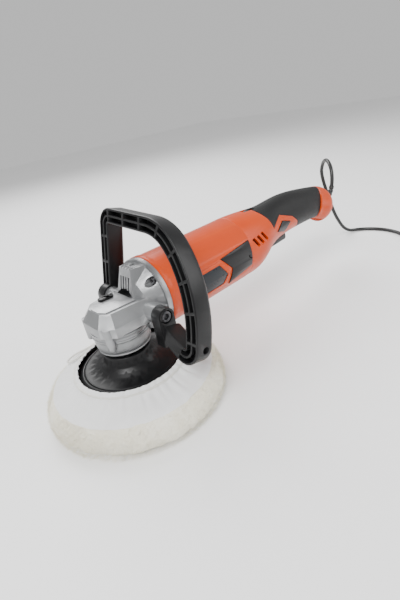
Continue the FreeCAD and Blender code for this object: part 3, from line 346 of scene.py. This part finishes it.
STEEL = Finish("machined_steel", (0.55, 0.55, 0.56), (0.46, 0.46, 0.47), (0.70, 0.70, 0.70), roughness=0.30,
               metallic=1.0, pattern=Pattern.BRUSHED, scale=900.0, depth=0.00002)
BEARING = Finish("bearing_steel", (0.66, 0.66, 0.68), (0.60, 0.60, 0.62), (0.8, 0.8, 0.8), roughness=0.16,
                 metallic=1.0, depth=0.00001)
ZINC = Finish("fastener_steel", (0.10, 0.10, 0.105), (0.07, 0.07, 0.075), (0.25, 0.25, 0.25), roughness=0.34,
              metallic=1.0, depth=0.00002)
LAMINATION = Finish("lamination", (0.24, 0.24, 0.25), (0.17, 0.17, 0.17), (0.4, 0.4, 0.4), roughness=0.45,
                    metallic=1.0, pattern=Pattern.BRUSHED, scale=1800.0, depth=0.0001)
COPPER = Finish("copper", (0.60, 0.22, 0.08), (0.45, 0.14, 0.05), (0.8, 0.4, 0.2), roughness=0.28,
                metallic=1.0, pattern=Pattern.BRUSHED, scale=900.0, depth=0.0003)
BRONZE = Finish("bronze", (0.50, 0.30, 0.10), (0.42, 0.24, 0.08), (0.7, 0.5, 0.3), roughness=0.32,
                metallic=1.0, depth=0.00002)
CARBON = Finish("carbon", (0.02, 0.02, 0.02), (0.03, 0.03, 0.03), (0.06, 0.06, 0.06), roughness=0.7)
SPRING = Finish("spring_steel", (0.5, 0.5, 0.5), (0.42, 0.42, 0.42), (0.7, 0.7, 0.7), roughness=0.25,
                metallic=1.0, pattern=Pattern.BRUSHED, scale=700.0, depth=0.0004)
INNER = Finish("inner_plastic", (0.05, 0.05, 0.055), (0.07, 0.07, 0.075), (0.12, 0.12, 0.12), roughness=0.5)
FELT = Finish("felt", (0.10, 0.09, 0.08), (0.15, 0.14, 0.12), (0.2, 0.2, 0.2), roughness=0.95,
              pattern=Pattern.WOOL, depth=0.0004, sheen=0.3)
WOOL = Finish("wool", (0.86, 0.83, 0.72), (0.76, 0.72, 0.58), (0.9, 0.88, 0.80), roughness=0.9,
              pattern=Pattern.WOOL, scale=300.0, depth=0.0024, wear=0.1, sheen=0.4, specular=0.2)
SKIRT = Finish("skirt_cloth", (0.86, 0.86, 0.86), (0.80, 0.80, 0.79), (0.9, 0.9, 0.9), roughness=0.72,
               pattern=Pattern.CLOTH, scale=520.0, depth=0.00012, wear=0.1, sheen=0.2, specular=0.3)
STRING = Finish("string", (0.80, 0.79, 0.74), (0.70, 0.69, 0.63), (0.9, 0.9, 0.86), roughness=0.8,
                pattern=Pattern.TWIST, scale=420.0, depth=0.0003, wear=0.1, sheen=0.3)
CORD = Finish("cord_rubber", (0.006, 0.006, 0.006), (0.009, 0.009, 0.009), (0.016, 0.016, 0.016),
              roughness=0.38, scale=900.0, depth=0.00004)
PIN = Finish("pin_metal", (0.72, 0.68, 0.55), (0.62, 0.58, 0.45), (0.8, 0.8, 0.75), roughness=0.22,
             metallic=1.0, depth=0.00001)
FLOOR = Finish("pale_floor", (0.90, 0.90, 0.90), (0.89, 0.89, 0.89), (0.90, 0.90, 0.90), roughness=0.8,
               rough_spread=0.02, depth=0.00001, wear=0.0)
FINISHES = (ORANGE, BLACK, GRIP, PAD, CAST, LABEL, STEEL, BEARING, ZINC, LAMINATION, COPPER, BRONZE, CARBON,
            SPRING, INNER, FELT, WOOL, SKIRT, STRING, CORD, PIN, FLOOR)


class Workshop:
    """Materials by name and the small operations that every piece needs."""

    def __init__(self, frame: dict) -> None:
        """Builds every material.
        """
        effects = Effects()
        self.frame = frame
        self.materials = {finish.name: finish.build(effects) for finish in FINISHES}
        self.slots = {part["node"]: part["material_slot"] for part in frame["record"]["subparts"]}
        self.bodies = {node: body for body, nodes in frame["record"]["behaviour"]["bodies"].items()
                       for node in nodes}

    def dress_nodes(self) -> None:
        """Gives every CAD node the material of its record slot."""
        for name, node in self.frame["nodes"].items():
            node.data.materials.clear()
            node.data.materials.append(self.materials[self.slots[name]])

    def dress(self, piece: bpy.types.Object, finish: Finish, slot: str, body: str) -> bpy.types.Object:
        """Finishes a new piece and lets it ride.

        Args:
            piece: the new object.
            finish: its finish.
            slot: its record slot; not used.
            body: the body it rides on.

        Returns:
            The piece.
        """
        piece.data.materials.clear()
        piece.data.materials.append(self.materials[finish.name])
        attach(piece, body)
        log.info("%s: %d faces on %s", piece.name, len(getattr(piece.data, "polygons", ())), body)
        return piece

    @staticmethod
    def only(piece: bpy.types.Object) -> None:
        """Selects one object and makes it active.

        Args:
            piece: the object.
        """
        bpy.ops.object.select_all(action="DESELECT")
        piece.select_set(True)
        bpy.context.view_layer.objects.active = piece

    def apply(self, piece: bpy.types.Object) -> None:
        """Applies every modifier of a piece, in order.

        Args:
            piece: the piece.
        """
        self.only(piece)
        for modifier in list(piece.modifiers):
            bpy.ops.object.modifier_apply(modifier=modifier.name)

    def smooth(self, piece: bpy.types.Object, degrees: float = 38.0) -> None:
        """Shades a piece smooth up to an angle.

        Args:
            piece: the piece.
            degrees: the largest angle between two faces that is shaded smooth.
        """
        self.only(piece)
        bpy.ops.object.shade_smooth_by_angle(angle=math.radians(degrees))

    def softened(self, node: str, width: float, finish: Finish, segments: int = 2,
                 angle: float = 35.0) -> bpy.types.Object:
        """A rigid piece with the CAD shape and rounded edges, which replaces its node.

        Args:
            node: the CAD node.
            width: the edge radius in metres.
            finish: its finish.
            segments: steps across each rounded edge.
            angle: the smallest angle in degrees that is rounded.

        Returns:
            The new piece.
        """
        source = self.frame["nodes"][node]
        piece = bpy.data.objects.new(node + "_finished", source.data.copy())
        bpy.context.scene.collection.objects.link(piece)
        self.only(piece)
        bpy.ops.object.mode_set(mode="EDIT")
        bpy.ops.mesh.select_all(action="SELECT")
        bpy.ops.mesh.remove_doubles(threshold=MERGE_DISTANCE)
        bpy.ops.mesh.dissolve_limited(angle_limit=math.radians(FLAT_DEGREES))
        bpy.ops.object.mode_set(mode="OBJECT")
        bevel = piece.modifiers.new("edges", "BEVEL")
        bevel.width = width
        bevel.segments = segments
        bevel.limit_method = "ANGLE"
        bevel.angle_limit = math.radians(angle)
        bevel.use_clamp_overlap = True
        self.apply(piece)
        self.smooth(piece)
        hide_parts(node)
        return self.dress(piece, finish, self.slots[node], self.bodies[node])

    def lathe(self, name: str, profile: list[tuple[float, float]], steps: int) -> bpy.types.Object:
        """Solid of revolution round the spindle, spun from a profile drawn by extrusion.

        Args:
            name: the piece's name.
            profile: (radius, height) pairs in metres.
            steps: steps round the circle.

        Returns:
            The new object, at the origin.
        """
        bpy.ops.object.select_all(action="DESELECT")
        bpy.ops.mesh.primitive_plane_add(size=0.001, location=(0, 0, 0))
        piece = bpy.context.object
        piece.name = name
        bpy.ops.object.mode_set(mode="EDIT")
        bpy.ops.mesh.select_all(action="SELECT")
        bpy.ops.mesh.merge(type="CENTER")
        radius, height = profile[0]
        bpy.ops.transform.translate(value=(radius, 0, height))
        for (r0, z0), (r1, z1) in zip(profile, profile[1:]):
            bpy.ops.mesh.extrude_region_move(TRANSFORM_OT_translate={"value": (r1 - r0, 0, z1 - z0)})
        bpy.ops.mesh.select_all(action="SELECT")
        bpy.ops.mesh.spin(steps=steps, angle=2 * math.pi, center=(0, 0, 0), axis=(0, 0, 1))
        bpy.ops.mesh.select_all(action="SELECT")
        bpy.ops.mesh.remove_doubles(threshold=0.00001)
        bpy.ops.mesh.normals_make_consistent(inside=False)
        bpy.ops.object.mode_set(mode="OBJECT")
        return piece

    @staticmethod
    def spline(name: str, points: list[Point], radius: float, smooth: bool = True,
               radii: list[float] | None = None) -> bpy.types.Object:
        """Round cord along one open spline.

        Args:
            name: the piece's name.
            points: control points in metres.
            radius: the cord's radius.
            smooth: True for a NURBS line, False for a straight-run line.
            radii: radius factors per point.

        Returns:
            The curve object.
        """
        data = bpy.data.curves.new(name, "CURVE")
        data.dimensions = "3D"
        data.bevel_depth = radius
        data.bevel_resolution = 5
        data.resolution_u = 8
        data.use_fill_caps = True
        line = data.splines.new("NURBS" if smooth else "POLY")
        line.points.add(len(points) - 1)
        for i, place in enumerate(points):
            line.points[i].co = (*place, 1.0)
            line.points[i].radius = radii[i] if radii else 1.0
        if smooth:
            line.order_u = 3
            line.use_endpoint_u = True
        piece = bpy.data.objects.new(name, data)
        bpy.context.scene.collection.objects.link(piece)
        return piece


def curve_length(curve: bpy.types.Object) -> float:
    """Measures a curve's own line.

    Args:
        curve: the curve object.

    Returns:
        The line's length in metres.
    """
    depth = curve.data.bevel_depth
    curve.data.bevel_depth = 0.0
    line = bpy.data.meshes.new_from_object(curve)
    curve.data.bevel_depth = depth
    places = [vertex.co.copy() for vertex in line.vertices]
    bpy.data.meshes.remove(line)
    return sum((b - a).length for a, b in zip(places, places[1:]))


# ---- polishing bonnet --------------------------------------------------------------------
@dataclass
class Bonnet:
    """Wool bonnet: pile, gathered skirt, fibres, hem string and its bow. Millimetres."""

    shop: Workshop
    hem_radius: float = 57.0
    side_radius: float = 95.0
    folds: int = 46
    steps: int = 300
    fibre_count: int = 15000
    string_radius: float = 1.1
    seed: int = 7
    lumps: tuple[tuple[float, float], ...] = ((28.0, 3.2), (150.0, 1.6), (420.0, 0.9))
    lump_share: float = 0.9
    lift: float = 0.8
    crease: float = 1.4
    crease_scale: float = 90.0
    swing: float = 0.4
    clearance: float = 0.9
    ring_height: float = 42.9
    ring_points: int = 180
    waves: list[tuple[int, float, float]] = field(default_factory=list)

    def build(self) -> None:
        """Builds every piece of the bonnet."""
        draw = random.Random(self.seed)
        sizes = ((self.folds, 1.0), (self.folds - 17, 0.55), (self.folds + 23, 0.4), (11, 0.35))
        self.waves = [(count, size, draw.uniform(0, 6.28)) for count, size in sizes]
        wool = self.wool()
        self.skirt()
        self.fibres()
        self.string()
        self.bow()

    def ripple(self, angle: float) -> float:
        """Works out the gathers' height.

        Args:
            angle: the angle round the spindle, in radians.

        Returns:
            The height, from about -1 to 1.
        """
        total = sum(size * math.sin(count * angle + phase) for count, size, phase in self.waves)
        return total / 1.6

    def wool(self) -> bpy.types.Object:
        """The thick wool working pad, up to where the skirt starts.

        Returns:
            The finished piece.
        """
        side = self.side_radius
        outer = [(0.0, 0.4), (side - 30, 0.4), (side - 14, 0.5), (side - 7, 2.2), (side - 2.5, 6.0),
                 (side - 1.0, 10.0), (side - 1.2, 15.0), (side - 2.6, 20.0), (side - 5.5, 25.0),
                 (side - 9.5, 29.0), (side - 13.5, 30.6)]
        inner = [(side - 14.5, 29.2), (side - 10.5, 26.0), (side - 10.5, 12.2), (0.0, 12.2)]
        piece = self.shop.lathe("bonnet_wool", [(r * MM, z * MM) for r, z in outer + inner], self.steps)
        mesh = piece.data
        for vertex in mesh.vertices:
            place = vertex.co
            reach = math.hypot(place.x, place.y)
            if reach < (side - 10.0) * MM or place.z < 0.0008:
                continue
            lump = sum(noise.noise(place * scale) * size for scale, size in self.lumps)
            way = Vector((place.x / reach, place.y / reach, 0.15))
            vertex.co = place + way * (lump * MM * self.lump_share)
        self.shop.smooth(piece, 60.0)
        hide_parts("bonnet")
        return self.shop.dress(piece, WOOL, "wool", "spindle_set")

    def skirt_profile(self) -> list[tuple[float, float]]:
        """The skirt's line from the wool to the hem.

        Returns:
            Pairs of radius and height.
        """
        side, hem = self.side_radius, self.hem_radius
        return [(side - 11.0, 28.6), (side - 13.5, 30.4), (side - 17.0, 31.6), (side - 21.0, 33.0),
                (side - 25.0, 34.4), (side - 29.0, 36.0), (hem + 6.0, 37.9), (hem + 3.0, 39.4),
                (hem + 1.2, 41.6), (hem - 0.6, 43.2), (hem - 2.4, 44.6)]

    def skirt(self) -> None:
        """The thin gathered cloth that the string pulls in over the pad.
        """
        profile = [(r * MM, z * MM) for r, z in self.skirt_profile()]
        piece = self.shop.lathe("bonnet_skirt", profile, self.steps * 2)
        outer, hem = (self.side_radius - 12.0) * MM, self.hem_radius * MM
        for vertex in piece.data.vertices:
            place = vertex.co
            reach = math.hypot(place.x, place.y)
            angle = math.atan2(place.y, place.x)
            pull = min(1.0, max(0.0, (outer - reach) / (outer - hem)))
            edge = min(1.0, (1.0 - pull) / 0.16)
            lift = (0.25 + 1.35 * pull ** 1.3 * (0.25 + 0.75 * edge)) * self.ripple(angle)
            crease = noise.noise(place * self.crease_scale) * self.crease * (1.0 - 0.8 * pull)
            place.z += (lift * self.lift + crease + self.clearance) * MM
            swing = self.swing * pull * self.ripple(angle + 0.4) * MM
            place.x += swing * math.cos(angle)
            place.y += swing * math.sin(angle)
        shell = piece.modifiers.new("cloth", "SOLIDIFY")
        shell.thickness = 0.0009
        shell.offset = 1.0
        self.shop.apply(piece)
        self.shop.smooth(piece, 70.0)
        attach(piece, "spindle_set")
        self.shop.dress(piece, SKIRT, "wool", "spindle_set")

    def fibres(self) -> None:
        """Loose tapering tufts that make the wool's outline soft."""
        draw = random.Random(self.seed + 1)
        side = self.side_radius
        mesh = bmesh.new()
        for _ in range(self.fibre_count):
            angle = draw.uniform(0, 2 * math.pi)
            share = draw.random()
            height = 1.2 + 28.0 * share
            reach = side - 1.4 - 0.028 * (height - 11.0) ** 2 * (1.0 if height > 11 else 0.35)
            root = Vector((reach * math.cos(angle), reach * math.sin(angle), height)) * MM
            out = Vector((math.cos(angle), math.sin(angle), draw.uniform(-0.5, 0.9))).normalized()
            along = Vector((-math.sin(angle), math.cos(angle), draw.uniform(-0.6, 0.6))).normalized()
            curl = draw.uniform(-1, 1)
            length = draw.uniform(1.6, 4.0) * MM
            width = draw.uniform(0.10, 0.22) * MM
            rows = []
            for step in range(4):
                t = step / 3.0
                spot = root + out * (length * t) + along * (curl * length * 0.9 * t * t)
                spot.z = max(spot.z, 0.0004)
                across = out.cross(along).normalized() * (width * (1.0 - 0.75 * t))
                rows.append((mesh.verts.new(spot - across), mesh.verts.new(spot + across)))
            for low, high in zip(rows, rows[1:]):
                mesh.faces.new((low[0], low[1], high[1], high[0]))
        data = bpy.data.meshes.new("bonnet_fibres")
        mesh.to_mesh(data)
        mesh.free()
        piece = bpy.data.objects.new("bonnet_fibres", data)
        bpy.context.scene.collection.objects.link(piece)
        self.shop.dress(piece, WOOL, "wool", "spindle_set")

    def string(self) -> None:
        """The string's ring in the hem, following the gathers."""
        radius = self.hem_radius + 2 * self.string_radius
        points = []
        for i in range(self.ring_points + 1):
            angle = 2 * math.pi * i / self.ring_points
            reach = radius + 0.35 * self.ripple(angle)
            points.append((reach * math.cos(angle) * MM, reach * math.sin(angle) * MM,
                           (self.ring_height + 0.5 * self.ripple(angle)) * MM))
        piece = self.shop.spline("drawstring_ring", points, self.string_radius * MM)
        self.shop.only(piece)
        bpy.ops.object.convert(target="MESH")
        piece = bpy.context.object
        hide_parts("drawstring")
        self.shop.dress(piece, STRING, "string", "spindle_set")

    def skirt_point(self, x: float, y: float) -> Point:
        """Lays a point of the string's axis on the skirt.

        Args:
            x: across, in millimetres.
            y: across the other way, in millimetres.

        Returns:
            The point in metres.
        """
        side, hem = self.side_radius, self.hem_radius
        radius = math.hypot(x, y)
        line = [(side - 3, 21.0), (side - 4.5, 26.0), (side - 10, 31.0), (hem, 39.87)]
        for (outer, low), (inner, high) in zip(line, line[1:]):
            if radius >= inner:
                break
        height = low + (outer - radius) / (outer - inner) * (high - low) + 2.4 * self.string_radius
        return (x * MM, y * MM, height * MM)

    def bow(self) -> None:
        """The two loops of the bow, lying on the skirt. No knot is built."""
        loop = [(-2.1, 60.5), (-10, 62.6), (-19, 62), (-27, 61.2), (-36.5, 61), (-41.5, 66), (-41.5, 73),
                (-36.5, 78), (-29.5, 78), (-20, 73), (-11, 67.5), (-2.4, 62.2)]
        for name, side in (("bow_loop_back", 1), ("bow_loop_side", -1)):
            points = [self.skirt_point(side * x, y) for x, y in loop]
            piece = self.shop.spline(name, points, self.string_radius * MM)
            curve_length(piece)
            if name == "bow_loop_back":
                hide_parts("drawstring_bow")
            self.shop.dress(piece, STRING, "string", "spindle_set")


# ---- mains cord ----------------------------------------------------------------------------
@dataclass
class MainsCord:
    """Sleeve, cord, coil and plug. Millimetres."""

    shop: Workshop
    radius: float = 2.9
    sleeve_radius: float = 4.8
    sleeve_bend: float = 24.0
    sleeve_turn: float = 75.0
    sleeve_start: tuple[float, float] = (394.0, 97.0)
    coil_centre: tuple[float, float] = (520.0, -150.0)
    coil_mean: float = 33.0
    floor: float = 3.0
    turns: float = 7.25
    turn_points: int = 24
    cross_from: float = 0.82
    cross_share: float = 0.18
    rise_from: float = 0.66
    rise_share: float = 0.17
    sleeve_straight: float = 16.0
    sleeve_taper: float = 0.22
    groove_share: float = 0.84

    def bend_point(self, turn: float) -> Point:
        """A point on the sleeve's bent part.

        Args:
            turn: how far the sleeve has turned, in radians.

        Returns:
            The point in millimetres.
        """
        x, z = self.sleeve_start
        return (x + self.sleeve_bend * math.sin(turn), 0.0, z + self.sleeve_bend * (1 - math.cos(turn)))

    def tip(self) -> tuple[Vector, Vector]:
        """Finds where the cord leaves the sleeve.

        Returns:
            The sleeve's end and the cord's direction there.
        """
        turn = math.radians(self.sleeve_turn)
        return Vector(self.bend_point(turn)), Vector((math.cos(turn), 0.0, math.sin(turn)))

    def route(self) -> list[Point]:
        """Draws the cord from the sleeve to the coil.

        Returns:
            Control points in millimetres.
        """
        tip, way = self.tip()
        floor = self.floor
        return [tuple(tip), tuple(tip + way * 8), (424, 4, 139), (434, 15, 149), (446, 27, 149),
                (457, 38, 141), (463, 45, 123), (467, 34, 83), (482, 28, 42), (509, 21, floor + 2),
                (535, 5, floor), (546, -30, floor), (536, -66, floor), (508, -92, floor), (486, -122, floor)]

    def coil(self) -> list[Point]:
        """Winds the coil: two columns of turns, layer by layer.

        Returns:
            Control points in millimetres.
        """
        stations = [(1, 0), (-1, 0), (-1, 1), (1, 1), (1, 2), (-1, 2), (-1, 3), (1, 3), (1, 3)]
        shrink = math.cos(math.pi / self.turn_points) * 0.5 + 0.5
        x0, y0 = self.coil_centre
        points = []
        for step in range(int(self.turns * self.turn_points) + 1):
            turn, part = divmod(step / self.turn_points, 1.0)
            here, after = stations[int(turn)], stations[int(turn) + 1]
            across = self.ease((part - self.cross_from) / self.cross_share)
            rise = self.ease((part - self.rise_from) / self.rise_share)
            column = here[0] + (after[0] - here[0]) * across
            layer = here[1] + (after[1] - here[1]) * rise
            reach = (self.coil_mean + column * self.radius) / shrink
            angle = math.pi + 2 * math.pi * part
            points.append((x0 + reach * math.cos(angle), y0 + reach * math.sin(angle),
                           self.floor + 2 * self.radius * layer))
        return points

    @staticmethod
    def ease(share: float) -> float:
        """Smooth step.

        Args:
            share: how far along, cut off at 0 and 1.

        Returns:
            The eased share, from 0 to 1.
        """
        share = min(1.0, max(0.0, share))
        return share * share * (3.0 - 2.0 * share)

    def build(self) -> None:
        """Builds the cord in one spline, its sleeve and its plug."""
        x0, y0 = self.coil_centre
        side = y0 - self.coil_mean - 2 * self.radius - 1.0
        tail = [(x0 + 14.0, side + 1.0, 18.6), (x0 + 26.0, side, 16.3), (x0 + 40.0, side, 16.1)]
        points = [tuple(v * MM for v in p) for p in self.route() + self.coil() + tail]
        cord = self.shop.spline("mains_cord", points, self.radius * MM)
        plug = self.shop.softened("plug_body", 0.0009, CORD, 3)
        curve_length(cord)
        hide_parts("cord_tube", "cord_coil")
        self.shop.dress(cord, CORD, "cord_rubber", "housing")
        self.sleeve()

    def sleeve(self) -> None:
        """Tapered sleeve with rings round it, turning the cord upwards."""
        x, z = self.sleeve_start
        straight = self.sleeve_straight
        points, radii = [], []
        rings, per_ring = 9, 6
        total = straight + math.radians(self.sleeve_turn) * self.sleeve_bend
        for i in range(rings * per_ring + 1):
            along = total * i / (rings * per_ring)
            share = along / total
            if along < straight:
                points.append((x - straight + along, 0.0, z))
            else:
                points.append(self.bend_point((along - straight) / self.sleeve_bend))
            groove = i % per_ring in (0, per_ring - 1)
            taper = 1.0 - self.sleeve_taper * share
            radii.append(taper * (self.groove_share if groove and 0.1 < share < 0.97 else 1.0))
        places = [tuple(v * MM for v in p) for p in points]
        piece = self.shop.spline("cord_sleeve", places, self.sleeve_radius * MM, False, radii)
        self.shop.only(piece)
        bpy.ops.object.convert(target="MESH")
        piece = bpy.context.object
        self.shop.smooth(piece, 50.0)
        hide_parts("strain_relief")
        self.shop.dress(piece, CORD, "cord_rubber", "housing")


# ---- rigid shells ----------------------------------------------------------------------------
@dataclass
class Castings:
    """Alloy gear head and its small parts. Millimetres."""

    shop: Workshop
    band_tops: tuple[tuple[float, float], ...] = ((30.2, 89.4), (29.4, 83.4), (28.4, 77.2))
    band_depth: float = 3.0
    band_height: float = 4.0

    def build(self) -> None:
        """Rounds the cast edges and the screws."""
        self.shop.softened("gear_case", 0.0009, CAST, 3, 22.0)
        self.shop.softened("bearing_cover", 0.0006, CAST, 2, 25.0)
        self.shop.softened("spindle_lock_button", 0.0004, BLACK)
        for node in ("flange_screws", "handle_bolts", "handle_washers"):
            self.shop.softened(node, 0.00025, ZINC)
        self.bands()

    def bands(self) -> None:
        """Three cast steps round the lower bowl."""
        for number, (reach, top) in enumerate(self.band_tops, start=1):
            root = reach - self.band_depth
            profile = [(root, top), (reach - 0.3, top - 0.5), (reach, top - 1.6), (reach - 0.5, top - 3.2),
                       (root, top - self.band_height), (root, top)]
            piece = self.shop.lathe(f"case_band_{number}", [(r * MM, z * MM) for r, z in profile], 128)
            self.shop.smooth(piece, 30.0)
            self.shop.dress(piece, CAST, "cast_alloy", "housing")


@dataclass
class Mouldings:
    """Plastic and rubber shells, the handle and the controls."""

    shop: Workshop

    def build(self) -> None:
        """Rounds every moulded edge."""
        plan = {
            "motor_housing": (0.0004, ORANGE),
            "rear_body_left": (0.0004, ORANGE),
            "rear_body_right": (0.0004, ORANGE),
            "end_cap": (0.0006, ORANGE),
            "grip_left": (0.0003, GRIP),
            "grip_right": (0.0003, GRIP),
            "brush_covers": (0.0004, BLACK),
            "label_plates": (0.0002, LABEL),
            "d_handle": (0.0006, BLACK),
            "trigger": (0.0006, BLACK),
            "lock_on_button": (0.0004, BLACK),
            "speed_dial": (0.0003, BLACK),
            "backing_pad": (0.0008, PAD),
        }
        for node, (width, finish) in plan.items():
            self.shop.softened(node, width, finish)


# ---- setting -----------------------------------------------------------------------------------
@dataclass
class Setting:
    """Floor, lights and camera."""

    shop: Workshop
    azimuth: float = -39.24
    elevation: float = 27.59
    roll: float = -10.84
    place: Point = (-0.1420, -0.3054, 0.2661)
    lens: float = 22.37
    sensor: float = 36.0
    aim: Point = (0.12, 0.0, 0.06)
    floor_size: float = 8.0
    surround: float = 0.65

    def build(self) -> None:
        """Builds the floor, the lights and the camera."""
        self.floor()
        self.lights()
        self.camera()

    def floor(self) -> None:
        """A flat pale floor, just under the object."""
        bpy.ops.object.select_all(action="DESELECT")
        bpy.ops.mesh.primitive_plane_add(size=self.floor_size, location=(0, 0, -0.0002))
        floor = bpy.context.object
        floor.name = "floor"
        floor.data.materials.append(self.shop.materials[FLOOR.name])

    def lights(self) -> None:
        """Three large soft lights and a pale surround."""
        plan = (("key", (-0.9, -0.5, 1.4), 0.9, 36.0), ("fill", (1.0, -1.0, 0.8), 1.0, 12.0),
                ("back", (0.5, 1.1, 1.3), 1.2, 30.0))
        for name, place, size, power in plan:
            data = bpy.data.lights.new(name, "AREA")
            data.size = size
            data.energy = power
            lamp = bpy.data.objects.new(name, data)
            lamp.location = place
            towards = Vector(self.aim) - Vector(place)
            lamp.rotation_euler = towards.to_track_quat("-Z", "Y").to_euler()
            bpy.context.scene.collection.objects.link(lamp)
        world = bpy.data.worlds.new("surround")
        world.use_nodes = True
        background = world.node_tree.nodes["Background"]
        background.inputs["Color"].default_value = (1.0, 1.0, 1.0, 1.0)
        background.inputs["Strength"].default_value = self.surround
        bpy.context.scene.world = world

    def camera(self) -> None:
        """The camera, leaning by its roll."""
        a, e, r = (math.radians(v) for v in (self.azimuth, self.elevation, self.roll))
        back = Vector((math.sin(a) * math.cos(e), -math.cos(a) * math.cos(e), math.sin(e)))
        side = Vector((math.cos(a), math.sin(a), 0.0))
        up = back.cross(side)
        right = side * math.cos(r) + up * math.sin(r)
        top = up * math.cos(r) - side * math.sin(r)
        data = bpy.data.cameras.new("camera")
        data.sensor_width = self.sensor
        data.lens = self.lens
        data.clip_start = 0.01
        camera = bpy.data.objects.new("camera", data)
        turned = Matrix((right, top, back)).transposed().to_4x4()
        camera.matrix_world = Matrix.Translation(Vector(self.place)) @ turned
        bpy.context.scene.collection.objects.link(camera)
        bpy.context.scene.camera = camera


def main() -> None:
    """Builds everything in order."""
    logging.basicConfig(level=logging.INFO, format="%(name)s %(message)s")
    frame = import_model()
    shop = Workshop(frame)
    shop.dress_nodes()
    Setting(shop).build()
    Mouldings(shop).build()
    Castings(shop).build()
    Bonnet(shop).build()
    MainsCord(shop).build()


if __name__ == "__main__":
    main()
